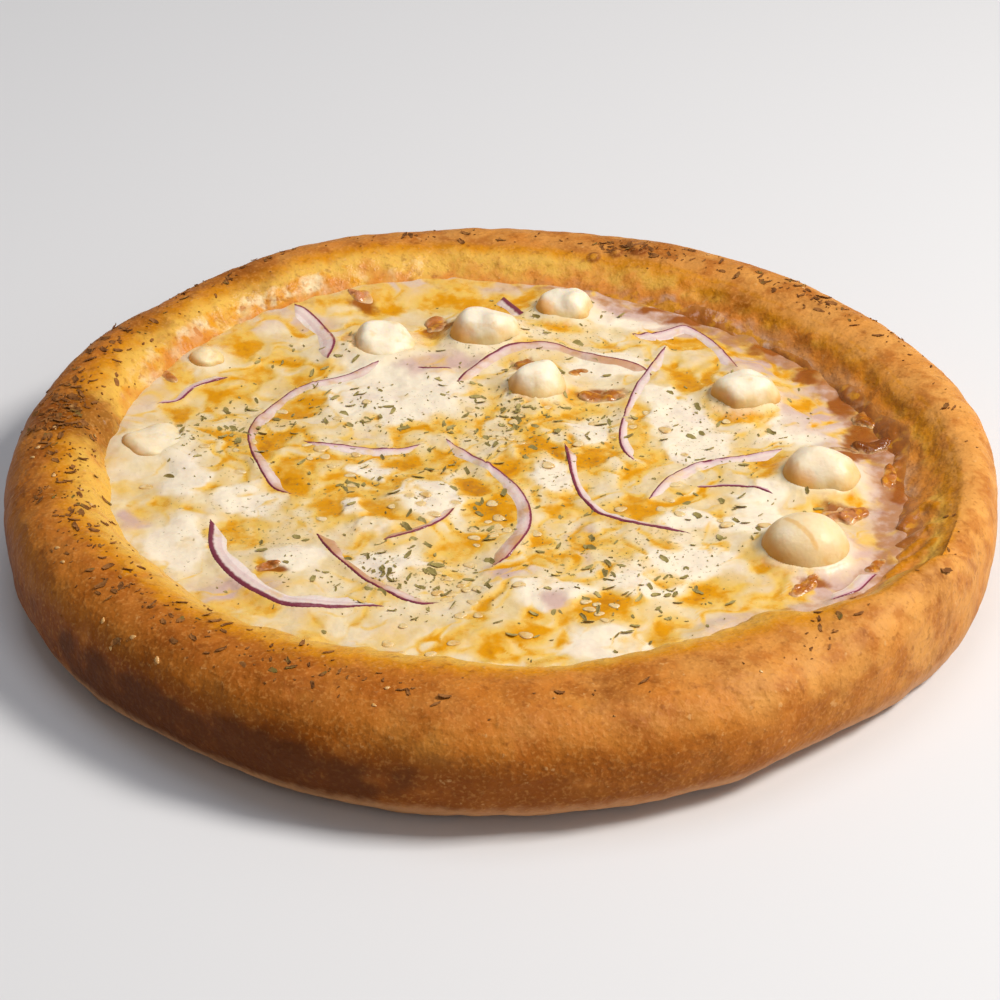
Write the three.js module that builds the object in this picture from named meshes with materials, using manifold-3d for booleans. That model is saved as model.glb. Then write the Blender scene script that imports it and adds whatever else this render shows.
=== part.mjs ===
// A thick-crust pizza, about 30 cm across: dough with a rolled rim, tomato sauce, a sheet of
// melted cheese, and on it half-melted mozzarella balls, strips of red onion and browned bits.
// Dried herbs and seeds are fused to the crust and to the cheese that they lie on.
// Millimetres, +Z up. The underside lies on Z = 0 and the middle of it is the origin.

import * as THREE from 'three';
import Module from 'manifold-3d';

const wasm = await Module();
wasm.setup();

// Driving dimensions
const outerRadius = 150;
const crustHeight = 36.5;
const doughFloor = 17;
const sauceThickness = 1.4;
const cheeseLevel = 24;
const cheeseDome = 1.2;
const clearance = 0.32;
const wallClearance = 0.45;

// Unevenness of the hand-shaped dough, and the shape of the rim's section
const ovalness = 0.5;
const fourCorners = 0.8;
const crestWaves = [0.5, 0.4, 0.3];
const crestSink = 1;
const wallSquareness = 0.8;
const crestOverlap = 3.5;
const bendShare = 0.3;
const bendDrop = 0.7;
const crestDrop = 2.8;
const slopeShare = 0.4;
const slopeDrop = 7;
const floorSetIn = 2;

// Edges of the sauce and the cheese, and the swell of the cheese: heights and lengths of its waves
const sauceBendDrop = 0.5;
const sauceEdgeRound = 0.2;
const sauceBelowCheese = 0.6;
const cheeseEdgeDrop = 0.3;
const cheeseRise = 0.2;
const cheeseEdgeShare = 0.16;
const broadSwell = { height: 0.8, alongX: 14, alongY: 12 };
const smallSwell = { height: 0.5, across: 8, slanted: 15 };

// Lumps, strips and specks: unevenness, reach to what lies under them, rise, and distances apart
const ballSides = 12;
const ballBreadth = 0.94;
const ballUnevenness = 0.08;
const bitSides = 8;
const bitUnevenness = 0.3;
const lumpReach = 0.8;
const stripReach = 1.6;
const stripHeel = 0.4;
const stripLifts = [0, 0, 0, 1, 2.3, 1.9];
const stripEndFullness = 0.22;
const stripFilling = 1.6;
const speckDepth = 1.6;
const speckBrim = 0.45;
const speckSpacing = 5.5;
const speckClearance = 3.2;
const speckFromEdge = 5;
const herbSpeck = { longest: 4.6, shortening: 1.6, breadth: 0.42, height: 0.7, sides: 4 };
const seedSpeck = { longest: 4.4, shortening: 1.2, breadth: 0.8, height: 1, sides: 6 };

// Fineness of the faceted surfaces
const sectors = 80;
const cheeseRings = [0.965, 0.91, 0.84, 0.76, 0.67, 0.57, 0.46, 0.34, 0.2];
const wallTurns = [-90, -66, -46, -26, -4, 18, 38, 56, 73, 90];
const stripStep = 5;

// The rim seen from above. For each direction in degrees: the radius of the inner edge of the
// crest, the radius where the cheese ends, how far the cheese climbs there, and the height that
// the sauce reaches on the dough.
const rimStations = [
  { at: -160, crest: 123, cheese: 115, climb: 0.5, sauce: 23 },
  { at: -140, crest: 120, cheese: 110, climb: 0, sauce: 23 },
  { at: -118, crest: 116.5, cheese: 107, climb: 0, sauce: 23 },
  { at: -108, crest: 114.5, cheese: 106, climb: 0, sauce: 23 },
  { at: -98, crest: 116, cheese: 107, climb: 0, sauce: 23 },
  { at: -88, crest: 116.5, cheese: 107, climb: 0, sauce: 23 },
  { at: -70, crest: 115.5, cheese: 107, climb: 0, sauce: 23 },
  { at: -59, crest: 115, cheese: 107, climb: 0, sauce: 24 },
  { at: -52, crest: 114.5, cheese: 107, climb: 0, sauce: 26 },
  { at: -45, crest: 123.5, cheese: 114, climb: 0, sauce: 28 },
  { at: -38, crest: 132, cheese: 121, climb: 0, sauce: 30 },
  { at: -27, crest: 137, cheese: 124.5, climb: 0, sauce: 31.5 },
  { at: -12, crest: 134, cheese: 120, climb: 0, sauce: 31.5 },
  { at: 4, crest: 130, cheese: 117.5, climb: 0, sauce: 31 },
  { at: 16, crest: 125, cheese: 115, climb: 0, sauce: 30.5 },
  { at: 32, crest: 123, cheese: 114, climb: 0, sauce: 30 },
  { at: 50, crest: 121, cheese: 110, climb: 0, sauce: 30 },
  { at: 70, crest: 120.5, cheese: 108, climb: 1, sauce: 30 },
  { at: 90, crest: 122, cheese: 110, climb: 2, sauce: 28 },
  { at: 112, crest: 125, cheese: 113, climb: 4, sauce: 23 },
  { at: 134, crest: 126, cheese: 116, climb: 3, sauce: 23 },
  { at: 154, crest: 125, cheese: 118, climb: 2, sauce: 23 },
  { at: 176, crest: 124, cheese: 118, climb: 1, sauce: 23 },
];

// Half-melted balls: place of the middle, width, and height above the cheese
const mozzarellaBalls = [
  { x: 88, y: -49, width: 26, height: 12.6 },
  { x: 96, y: -8, width: 23, height: 9.4 },
  { x: 76, y: 38.5, width: 20, height: 7.6 },
  { x: 11, y: 46, width: 18, height: 9 },
  { x: -5, y: 79, width: 23, height: 9.5 },
  { x: -38, y: 72, width: 22, height: 8 },
  { x: 21, y: 96, width: 18, height: 7.5 },
  { x: -105.5, y: 11, width: 20, height: 4.6 },
  { x: -94, y: 62, width: 11, height: 4.2 },
];

// Onion strips: points along the purple skin edge, and the width of the flesh, which is
// positive to the left of the way the points run and negative to the right
const onionStrips = [
  { width: 8, path: [[-86, -30], [-85, -46], [-80, -58], [-70, -70], [-57, -78], [-32, -77]] },
  { width: -7, path: [[-68, 98], [-61, 92], [-55, 81], [-53, 71], [-55, 62]] },
  { width: 5, path: [[-35, 63], [-51, 53], [-64, 47], [-74, 33], [-78, 15], [-70, -11], [-59, -19]] },
  { width: -3.5, path: [[-61, 13], [-46, 11], [-33, 10], [-24, 12]] },
  { width: -5.5, path: [[-18, 17], [-8, 5], [2, -7], [8, -20], [9, -34], [4, -49], [-5, -61]] },
  { width: -3, path: [[-13, -24], [-17, -32], [-24, -39], [-36, -44]] },
  { width: 4.5, path: [[-55, -37], [-49, -50], [-41, -61], [-33, -69], [-24, -75], [-17, -74]] },
  { width: 4.5, path: [[19, 13], [20, 1], [22, -13], [27, -26], [38, -34], [56, -40]] },
  { width: 4.5, path: [[54, 76], [44, 52], [38, 30], [36, 15], [38, 5], [42, -1]] },
  { width: -5, path: [[-17, 45], [-7, 62], [5, 71], [18, 72], [32, 66], [45, 60], [50, 50]] },
  { width: 3, path: [[-27, 57], [-21, 56], [-15, 57]] },
  { width: -6, path: [[42, 81], [52, 84], [60, 88], [68, 80], [73, 68], [76, 56]] },
  { width: 5, path: [[87, 8], [73, 5], [58, 1], [48, -10], [43, -22]] },
  { width: 3, path: [[57, -13], [66, -13], [74, -15], [81, -19]] },
  { width: 4, path: [[-108, 35], [-101, 38], [-96, 46], [-86, 52]] },
  { width: -6, path: [[1, 106], [4, 101], [8, 93]] },
  { width: 5, path: [[93, -74], [101, -70], [108, -60]] },
];

// Browned bits: place of the middle, length, breadth, height and the turn of the length in degrees
const baconBits = [
  { x: 102, y: -28, length: 13, breadth: 10, height: 4, turn: 10 },
  { x: 112, y: 10, length: 23, breadth: 6, height: 3, turn: 22 },
  { x: 114, y: 27, length: 13, breadth: 9, height: 3.5, turn: 60 },
  { x: 117, y: -7, length: 18, breadth: 5, height: 2.4, turn: 84 },
  { x: 123, y: -23, length: 11, breadth: 5, height: 2.4, turn: 50 },
  { x: 122, y: -38, length: 9, breadth: 4, height: 2.4, turn: -30 },
  { x: 86, y: -67, length: 15, breadth: 5, height: 3, turn: 38 },
  { x: 108, y: -55, length: 8, breadth: 4, height: 2.4, turn: 48 },
  { x: 32, y: 42, length: 13, breadth: 7, height: 3, turn: -8 },
  { x: 25, y: 56, length: 7, breadth: 5, height: 2.4, turn: 20 },
  { x: -21, y: 87, length: 9, breadth: 7, height: 3, turn: 80 },
  { x: -47, y: 104, length: 9, breadth: 6, height: 3, turn: -40 },
  { x: 8, y: 61, length: 7, breadth: 5, height: 2.4, turn: 0 },
  { x: -105, y: 52, length: 8, breadth: 4, height: 2.4, turn: -60 },
  { x: -67, y: -56, length: 7, breadth: 4, height: 2.2, turn: 12 },
];

// Herb drifts on the crust: direction and spread in degrees, radius and spread in millimetres
const crustHerbs = [
  { at: 172, around: 13, radius: 136, across: 9, count: 16 },
  { at: -168, around: 16, radius: 131, across: 10, count: 9 },
  { at: -135, around: 22, radius: 132, across: 9, count: 9 },
  { at: -105, around: 18, radius: 133, across: 9, count: 5 },
  { at: -44, around: 9, radius: 136, across: 6, count: 8 },
  { at: 44, around: 16, radius: 134, across: 8, count: 8 },
  { at: 70, around: 14, radius: 133, across: 9, count: 6 },
  { at: 10, around: 20, radius: 140, across: 4, count: 3 },
];

// Herb and seed drifts on the cheese: place of the middle, spread and count
const cheeseHerbs = [
  { x: 8, y: 27, spread: 26, count: 11 },
  { x: -30, y: -66, spread: 22, count: 9 },
  { x: -84, y: 12, spread: 20, count: 7 },
  { x: 45, y: -58, spread: 26, count: 7 },
  { x: 5, y: 10, spread: 70, count: 14 },
];
const cheeseSeeds = [
  { x: -52, y: 0, spread: 16, count: 6 },
  { x: -12, y: -48, spread: 22, count: 7 },
  { x: 6, y: -14, spread: 18, count: 5 },
  { x: 40, y: 8, spread: 40, count: 6 },
];

// Draws between 0 and 1 that are the same each time
function seededDraws(seed) {
  let state = seed;
  return () => {
    state = (state + 0x6d2b79f5) | 0;
    let mixed = Math.imul(state ^ (state >>> 15), 1 | state);
    mixed = (mixed + Math.imul(mixed ^ (mixed >>> 7), 61 | mixed)) ^ mixed;
    return ((mixed ^ (mixed >>> 14)) >>> 0) / 4294967296;
  };
}

// A closed skin from a list of rings with equal counts of points, closed by a pole at each end
function closedSkin(firstPole, rings, lastPole) {
  const count = rings[0].length;
  const positions = [firstPole, ...rings.flat(), lastPole].flat();
  const triangles = [];
  const last = rings.length * count + 1;
  for (let spot = 0; spot < count; spot += 1) {
    const next = (spot + 1) % count;
    triangles.push(0, 1 + next, 1 + spot);
    for (let ring = 0; ring < rings.length - 1; ring += 1) {
      const low = 1 + ring * count;
      const high = low + count;
      triangles.push(low + spot, low + next, high + next);
      triangles.push(low + spot, high + next, high + spot);
    }
    const end = last - count;
    triangles.push(last, end + spot, end + next);
  }
  const geometry = new THREE.BufferGeometry();
  geometry.setAttribute('position', new THREE.Float32BufferAttribute(positions, 3));
  geometry.setIndex(triangles);
  return geometry;
}

function solidFrom(geometry) {
  return new wasm.Manifold(new wasm.Mesh({
    numProp: 3,
    vertProperties: new Float32Array(geometry.getAttribute('position').array),
    triVerts: new Uint32Array(geometry.getIndex().array),
  }));
}

function geometryFrom(solid) {
  const mesh = solid.getMesh();
  const geometry = new THREE.BufferGeometry();
  geometry.setAttribute('position', new THREE.BufferAttribute(mesh.vertProperties, 3));
  geometry.setIndex(new THREE.BufferAttribute(mesh.triVerts, 1));
  return geometry;
}

function pieceOf(name, geometry, colour, roughness) {
  geometry.computeVertexNormals();
  const material = new THREE.MeshStandardMaterial({ color: colour, roughness, metalness: 0 });
  const piece = new THREE.Mesh(geometry, material);
  piece.name = name;
  piece.updateMatrixWorld();
  return piece;
}

// Height of the highest of some pieces at a place, or null where none lies below it
const dropper = new THREE.Raycaster();
const downwards = new THREE.Vector3(0, 0, -1);
function topOf(pieces, x, y) {
  dropper.set(new THREE.Vector3(x, y, crustHeight * 2), downwards);
  const hits = dropper.intersectObjects(pieces, false);
  return hits.length > 0 ? hits[0].point.z : null;
}

// Height at which something rests over a small neighbourhood of a place
function restingHeight(pieces, x, y, reach) {
  const offsets = [[0, 0], [reach, 0], [-reach, 0], [0, reach], [0, -reach]];
  const heights = offsets.map(([aside, along]) => topOf(pieces, x + aside, y + along));
  return Math.max(...heights.filter((height) => height !== null)) + clearance;
}

function sectorAngles() {
  return Array.from({ length: sectors }, (_, sector) => (sector / sectors) * Math.PI * 2);
}

// Crust

// One measure of the rim in a direction, eased between the stations on either side
function rimMeasure(name, angle) {
  const start = rimStations[0].at;
  const turned = THREE.MathUtils.euclideanModulo(THREE.MathUtils.radToDeg(angle) - start, 360);
  const degrees = start + turned;
  const later = rimStations.findIndex((station) => station.at > degrees);
  const after = later < 0 ? { ...rimStations[0], at: start + 360 } : rimStations[later];
  const before = rimStations.at(later < 0 ? -1 : later - 1);
  const along = (degrees - before.at) / (after.at - before.at);
  const eased = (along + THREE.MathUtils.smoothstep(along, 0, 1)) / 2;
  return THREE.MathUtils.lerp(before[name], after[name], eased);
}

// The outline is slightly oval and four-cornered, as hand-shaped dough is
function outlineRadius(angle) {
  return outerRadius + ovalness * Math.sin(2 * angle) + fourCorners * (Math.cos(4 * angle) - 1);
}

function crestHeight(angle) {
  const [broad, middling, short] = crestWaves;
  const slowWaves = broad * Math.sin(3 * angle + 1) + middling * Math.sin(7 * angle);
  return crustHeight - crestSink + slowWaves + short * Math.cos(12 * angle);
}

// Half section of the crust from its underside, round the wall and the crest, to the floor
function crustSection(angle) {
  const outer = outlineRadius(angle);
  const height = crestHeight(angle);
  const crest = rimMeasure('crest', angle);
  const cheese = rimMeasure('cheese', angle);
  const halfWidth = (outer - crest) / 2 + crestOverlap;
  const section = wallTurns.map((degrees) => {
    const turn = THREE.MathUtils.degToRad(degrees);
    const aside = Math.abs(Math.cos(turn)) ** wallSquareness;
    const upward = Math.sign(turn) * Math.abs(Math.sin(turn)) ** wallSquareness;
    return [outer - halfWidth + halfWidth * aside, (height / 2) * (1 + upward)];
  });
  section.push([crest + bendShare * halfWidth, height - bendDrop]);
  section.push([crest, height - crestDrop]);
  section.push([crest - slopeShare * (crest - cheese), height - slopeDrop]);
  section.push([cheese, cheeseLevel]);
  section.push([cheese - floorSetIn, doughFloor]);
  return section;
}

// Radius of the rim's inner slope at a height
function innerSlope(angle, height) {
  const slope = crustSection(angle).slice(-4);
  const above = slope.findLastIndex((point) => point[1] >= height);
  const upper = slope[Math.min(Math.max(above, 0), slope.length - 2)];
  const lower = slope[slope.indexOf(upper) + 1];
  const along = (height - lower[1]) / (upper[1] - lower[1]);
  return THREE.MathUtils.lerp(lower[0], upper[0], along);
}

function turnedSkin(bottom, section, top) {
  const sections = sectorAngles().map((angle) => section(angle).map(([radius, height]) => (
    [radius * Math.cos(angle), radius * Math.sin(angle), height]
  )));
  const rings = sections[0].map((_, index) => sections.map((points) => points[index]));
  return closedSkin([0, 0, bottom], rings, [0, 0, top]);
}

const bareCrust = turnedSkin(0, crustSection, doughFloor);

// Tomato sauce: a thin layer on the dough floor whose edge climbs the rim's inner slope

function sauceTop(angle) {
  const cheeseEdge = cheeseLevel + rimMeasure('climb', angle);
  return Math.max(rimMeasure('sauce', angle), cheeseEdge - sauceBelowCheese);
}

function sauceSection(angle) {
  const bottom = doughFloor + clearance;
  const bend = Math.min(cheeseLevel, sauceTop(angle) - sauceBendDrop);
  const outside = (height) => innerSlope(angle, height) - wallClearance;
  const inside = (height) => outside(height) - sauceThickness;
  return [
    [outside(bottom), bottom],
    [outside(bend), bend],
    [outside(sauceTop(angle)), sauceTop(angle)],
    [inside(sauceTop(angle)), sauceTop(angle) - sauceEdgeRound],
    [inside(bend), bend],
    [inside(bottom), bottom + sauceThickness],
  ];
}

const sauceSurface = doughFloor + clearance + sauceThickness;
const sauceSkin = turnedSkin(doughFloor + clearance, sauceSection, sauceSurface);

// Melted cheese: a bumpy sheet, higher in the middle, that climbs the rim at the back left

function cheeseSwell(x, y) {
  const broad = Math.sin(x / broadSwell.alongX + 0.6) * Math.cos(y / broadSwell.alongY - 0.4);
  const small = Math.sin((x + y) / smallSwell.across) * Math.cos((x - 2 * y) / smallSwell.slanted);
  return broadSwell.height * broad + smallSwell.height * small;
}

function cheeseReach(angle, height) {
  return innerSlope(angle, height) - 2 * wallClearance - sauceThickness;
}

function cheeseSection(angle) {
  const bottom = sauceSurface + clearance;
  const climb = rimMeasure('climb', angle);
  const edgeHeight = cheeseLevel + climb + cheeseRise;
  const edge = cheeseReach(angle, edgeHeight);
  const section = [
    [cheeseReach(angle, bottom), bottom],
    [cheeseReach(angle, cheeseLevel - cheeseEdgeDrop), cheeseLevel - cheeseEdgeDrop],
    [edge, edgeHeight],
  ];
  for (const share of cheeseRings) {
    const radius = edge * share;
    const inward = THREE.MathUtils.smoothstep(1 - share, 0, cheeseEdgeShare);
    const swell = cheeseSwell(radius * Math.cos(angle), radius * Math.sin(angle));
    const rise = cheeseRise + climb * (1 - inward) ** 2 + inward * (swell + cheeseDome);
    section.push([radius, cheeseLevel + rise]);
  }
  return section;
}

const cheeseMiddle = cheeseLevel + cheeseRise + cheeseDome + cheeseSwell(0, 0);
const bareCheese = turnedSkin(sauceSurface + clearance, cheeseSection, cheeseMiddle);

const bed = [
  pieceOf('bed_crust', bareCrust.clone(), '#c98a4a', 0.6),
  pieceOf('bed_sauce', sauceSkin.clone(), '#b5501c', 0.4),
  pieceOf('bed_cheese', bareCheese.clone(), '#ecdcb4', 0.4),
];

// Mozzarella balls and browned bits: rounded lumps whose undersides follow what they rest on

const ballRings = [[0.5, 0], [0.84, 0], [1, 0.42], [0.84, 0.8], [0.47, 0.97]];
const bitRings = [[0.8, 0], [1, 0.5], [0.62, 0.95]];

function lump(shape, rings, sides, unevenness, draw) {
  const turn = THREE.MathUtils.degToRad(shape.turn ?? 0);
  const reaches = Array.from({ length: sides }, () => 1 - unevenness * draw());
  const ground = (x, y) => restingHeight(bed, shape.x + x, shape.y + y, lumpReach);
  const skin = rings.map(([share, lift]) => reaches.map((reach, side) => {
    const angle = (side / sides) * Math.PI * 2;
    const long = (shape.length / 2) * share * reach * Math.cos(angle);
    const wide = (shape.breadth / 2) * share * reach * Math.sin(angle);
    const x = long * Math.cos(turn) - wide * Math.sin(turn);
    const y = long * Math.sin(turn) + wide * Math.cos(turn);
    return [x, y, ground(x, y) + lift * shape.height * (0.75 + 0.25 * reach)];
  }));
  return closedSkin([0, 0, ground(0, 0)], skin, [0, 0, ground(0, 0) + shape.height]);
}

function lumpPiece(name, shape, skin, colour) {
  const piece = pieceOf(name, skin, colour, 0.35);
  piece.position.set(shape.x, shape.y, 0);
  piece.updateMatrixWorld();
  return piece;
}

const ballDraw = seededDraws(11);
const balls = mozzarellaBalls.map((ball, index) => {
  const shape = { ...ball, length: ball.width, breadth: ball.width * ballBreadth };
  const skin = lump(shape, ballRings, ballSides, ballUnevenness, ballDraw);
  return lumpPiece(`mozzarella_ball_${index + 1}`, shape, skin, '#f0e2bd');
});

const bitDraw = seededDraws(23);
const bits = baconBits.map((bit, index) => {
  const skin = lump(bit, bitRings, bitSides, bitUnevenness, bitDraw);
  return lumpPiece(`bacon_bit_${index + 1}`, bit, skin, '#a4551c');
});

// Onion strips: curved slices of a ring, thin at both ends, lying over what is under them

function stripStations(strip) {
  const points = strip.path.map(([x, y]) => new THREE.Vector3(x, y, 0));
  const curve = new THREE.CatmullRomCurve3(points);
  const steps = Math.max(3, Math.round(curve.getLength() / stripStep));
  return Array.from({ length: steps + 1 }, (_, step) => {
    const along = step / steps;
    const middle = curve.getPointAt(along);
    const forward = curve.getTangentAt(along);
    const fullness = Math.min(1, Math.sin(along * Math.PI) * stripFilling + stripEndFullness);
    return { middle, aside: new THREE.Vector3(-forward.y, forward.x, 0), fullness };
  });
}

function averageOf(points) {
  return [0, 1, 2].map((axis) => points.reduce((sum, point) => sum + point[axis], 0) / points.length);
}

// Each cross-section has a low skin edge, a crowned middle and a thin inner edge
function stripSkin(strip, under) {
  const heel = Math.sign(strip.width) * -stripHeel;
  const crossSection = ({ middle, aside, fullness }) => {
    const width = strip.width * fullness;
    const offsets = [heel, width / 2, width, width, width / 2, heel];
    const lifts = stripLifts.map((lift) => lift * (0.4 + 0.6 * fullness));
    const places = offsets.map((offset) => middle.clone().addScaledVector(aside, offset));
    const grounds = places.map((place) => restingHeight(under, place.x, place.y, stripReach));
    const ground = Math.max(...grounds);
    return places.map((place, spot) => [place.x, place.y, ground + lifts[spot]]);
  };
  const rings = stripStations(strip).map(crossSection);
  const skin = closedSkin(averageOf(rings[0]), rings, averageOf(rings.at(-1)));
  return strip.width > 0 ? skin : insideOut(skin);
}

function insideOut(geometry) {
  const index = geometry.getIndex().array;
  for (let corner = 0; corner < index.length; corner += 3) {
    [index[corner], index[corner + 1]] = [index[corner + 1], index[corner]];
  }
  return geometry;
}

const onions = [];
onionStrips.forEach((strip, index) => {
  const under = [...bed, ...balls, ...bits, ...onions];
  onions.push(pieceOf(`onion_strip_${index + 1}`, stripSkin(strip, under), '#d8b8c4', 0.4));
});

// Herb flakes and seeds: small many-sided lenses sunk into the surface that carries them

function speck(x, y, ground, size, share, turn) {
  const length = size.longest - size.shortening * share;
  const ring = Array.from({ length: size.sides }, (_, side) => {
    const angle = (side / size.sides) * Math.PI * 2;
    const long = (length / 2) * Math.cos(angle);
    const wide = (length / 2) * size.breadth * Math.sin(angle);
    const aside = long * Math.cos(turn) - wide * Math.sin(turn);
    const along = long * Math.sin(turn) + wide * Math.cos(turn);
    return [x + aside, y + along, ground + size.height * speckBrim];
  });
  return closedSkin([x, y, ground - speckDepth], [ring], [x, y, ground + size.height]);
}

function sprinkled(drifts, placeIn, makeSpeck, isClear) {
  const specks = [];
  const taken = [];
  for (const drift of drifts) {
    let made = 0;
    for (let tries = 0; made < drift.count && tries < drift.count * 12; tries += 1) {
      const [x, y] = placeIn(drift);
      const nearest = Math.min(...taken.map(([otherX, otherY]) => Math.hypot(x - otherX, y - otherY)));
      if (nearest > speckSpacing && isClear(x, y)) {
        taken.push([x, y]);
        specks.push(solidFrom(makeSpeck(x, y, made / drift.count)));
        made += 1;
      }
    }
  }
  return specks;
}

const herbDraw = seededDraws(37);
const toppings = [...balls, ...bits, ...onions];
const [bedCrust, bedSauce, bedCheese] = bed;

// Both kinds of speck start large in each drift and get smaller
function herbOn(carrier) {
  return (x, y, share) => speck(x, y, topOf([carrier], x, y), herbSpeck, share, herbDraw() * Math.PI);
}

function seedOnCheese(x, y, share) {
  return speck(x, y, topOf([bedCheese], x, y), seedSpeck, share, herbDraw() * Math.PI);
}

function clearSpot(x, y, others) {
  const around = Array.from({ length: 8 }, (_, side) => (side / 8) * Math.PI * 2);
  const free = (angle) => {
    const aside = speckClearance * Math.cos(angle);
    const along = speckClearance * Math.sin(angle);
    return topOf(others, x + aside, y + along) === null;
  };
  return topOf(others, x, y) === null && around.every(free);
}

function onCheese(x, y) {
  const angle = Math.atan2(y, x);
  const inside = Math.hypot(x, y) < cheeseReach(angle, cheeseLevel) - speckFromEdge;
  return inside && clearSpot(x, y, toppings);
}

function onCrust(x, y) {
  return clearSpot(x, y, [bedSauce, ...toppings]);
}

function spreadDraw() {
  return herbDraw() + herbDraw() - 1;
}

function inRimDrift(drift) {
  const angle = THREE.MathUtils.degToRad(drift.at + drift.around * spreadDraw());
  const radius = drift.radius + drift.across * spreadDraw();
  return [radius * Math.cos(angle), radius * Math.sin(angle)];
}

function inCheeseDrift(drift) {
  return [drift.x + drift.spread * spreadDraw(), drift.y + drift.spread * spreadDraw()];
}

const crustSpecks = sprinkled(crustHerbs, inRimDrift, herbOn(bedCrust), onCrust);
const cheeseSpecks = [
  ...sprinkled(cheeseHerbs, inCheeseDrift, herbOn(bedCheese), onCheese),
  ...sprinkled(cheeseSeeds, inCheeseDrift, seedOnCheese, onCheese),
];

function fused(geometry, specks) {
  return geometryFrom(wasm.Manifold.union([solidFrom(geometry), ...specks]));
}

const pizza = new THREE.Group();
pizza.name = 'pizza';
pizza.add(pieceOf('crust', fused(bareCrust, crustSpecks), '#c98a4a', 0.6));
pizza.add(pieceOf('tomato_sauce', sauceSkin, '#b5501c', 0.4));
pizza.add(pieceOf('melted_cheese', fused(bareCheese, cheeseSpecks), '#ecdcb4', 0.4));
pizza.add(...toppings);

export default pizza;
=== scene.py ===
import math
import random

import bmesh
import bpy
import numpy as np
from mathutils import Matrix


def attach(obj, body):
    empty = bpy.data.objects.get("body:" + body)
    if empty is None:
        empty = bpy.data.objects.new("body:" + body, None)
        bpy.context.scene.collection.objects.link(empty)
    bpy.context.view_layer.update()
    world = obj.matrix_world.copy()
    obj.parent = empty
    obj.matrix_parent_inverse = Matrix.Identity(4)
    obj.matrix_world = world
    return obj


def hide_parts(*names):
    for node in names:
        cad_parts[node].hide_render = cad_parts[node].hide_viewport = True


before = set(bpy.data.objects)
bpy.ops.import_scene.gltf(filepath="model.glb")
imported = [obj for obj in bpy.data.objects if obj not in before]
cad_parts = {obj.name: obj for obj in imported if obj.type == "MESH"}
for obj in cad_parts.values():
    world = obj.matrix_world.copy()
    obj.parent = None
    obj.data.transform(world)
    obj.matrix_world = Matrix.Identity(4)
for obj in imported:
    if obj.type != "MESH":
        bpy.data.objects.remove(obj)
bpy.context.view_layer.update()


# Crust
# One piece of leavened wheat dough: a floor under the toppings and a thick rolled rim round it.
# It rose and browned in a hot oven. The top is toasted, the inner slope is wet with oil and
# melted cheese, and the foot of the wall, which lay against the metal, stayed pale and floury.
MM = 0.001
WELD = 0.002
SLIVER = 0.0005
OUTER_RADIUS = 150.0
CRUST_HEIGHT = 36.5
DOUGH_FLOOR = 17.0
CHEESE_LEVEL = 24.0
WALL_SQUARENESS = 0.8
# The rolled rim: how far its outline strays from a circle, how its crest sinks and waves, how far
# its outer half laps over the inner one, and where the slope bends, as shares and in millimetres.
OVALNESS = 0.5
FOUR_CORNERS = 0.8
CREST_SINK = 1.0
CREST_WAVES = (0.5, 0.4, 0.3)
CREST_OVERLAP = 3.5
BEND_SHARE = 0.3
BEND_DROP = 0.7
CREST_DROP = 2.8
SLOPE_SHARE = 0.4
SLOPE_DROP = 7.0
FLOOR_SET_IN = 1.2
FLOOR_BEND = 3.0
UNDERCUT = 0.29
WALL_STEPS = 61
# Radius where the rim's relief starts, where it is full, and where the foot's relief starts.
RIM_FROM = 98.0
RIM_FULL = 104.0
FOOT_FROM = 120.0
# Unevenness of the dough, of its wet inner slope, of its foot and of its torn inner edge, in
# layers: height in millimetres, size of the lumps in millimetres, and seed.
DOUGH_RELIEF = ((0.85, 34.0, 1), (0.4, 13.0, 2), (0.2, 5.5, 3), (0.12, 2.6, 4))
SLOPE_RELIEF = ((0.55, 7.0, 6), (0.3, 3.2, 7))
FOOT_RELIEF = ((0.5, 9.0, 5),)
LIP_RELIEF = ((0.9, 14.0, 31), (0.5, 5.0, 32), (0.35, 2.6, 33))
LIP_RADIUS = 120.0
LIP_SHARPNESS = 2.1
# The net of the crust: steps round it, and across its underside, its shown side and its floor.
CRUST_COLUMNS = 860
UNDERSIDE_ROWS = 4
SHOWN_ROWS = 102
FLOOR_ROWS = 4
CRUST_ROWS = UNDERSIDE_ROWS + SHOWN_ROWS + FLOOR_ROWS
# The rim's measures, and the column that each stands in.
CREST = 1
CHEESE_EDGE = 2
CLIMB = 3
RIM_STATIONS = (
    # angle in degrees, radius of the crest, radius where the cheese meets it, climb of the cheese
    (-160, 123, 115, 0.5), (-140, 120, 110, 0), (-118, 116.5, 107, 0), (-108, 114.5, 106, 0),
    (-98, 116, 107, 0), (-88, 116.5, 107, 0), (-70, 115.5, 107, 0), (-59, 115, 107, 0),
    (-52, 114.5, 107, 0), (-45, 123.5, 114, 0), (-38, 132, 121, 0), (-27, 137, 124.5, 0),
    (-12, 134, 120, 0), (4, 130, 117.5, 0), (16, 125, 115, 0), (32, 123, 114, 0),
    (50, 121, 110, 0), (70, 120.5, 108, 1), (90, 122, 110, 2), (112, 125, 113, 4),
    (134, 126, 116, 3), (154, 125, 118, 2), (176, 124, 118, 1),
)
# How far the golden, oily part of the rim reaches out past its crest, in millimetres.
GOLDEN_STATIONS = (
    (-178, 14), (-160, 14), (-143, 11), (-124, 13), (-112, 15), (-98, 11), (-84, 9), (-70, 9),
    (-60, 13), (-50, 15), (-40, 7), (-20, 5), (10, 4), (40, 4), (65, 6), (95, 8), (125, 9),
    (150, 12),
)
# How wet with sauce and thin cheese the inner slope is, from 0, dry, to 1.
WET_STATIONS = (
    (-70, 0), (-45, 0.6), (-20, 1), (40, 1), (75, 0.8), (100, 0.5), (125, 0.5), (150, 0.45),
    (172, 0.1), (-170, 0),
)
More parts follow.
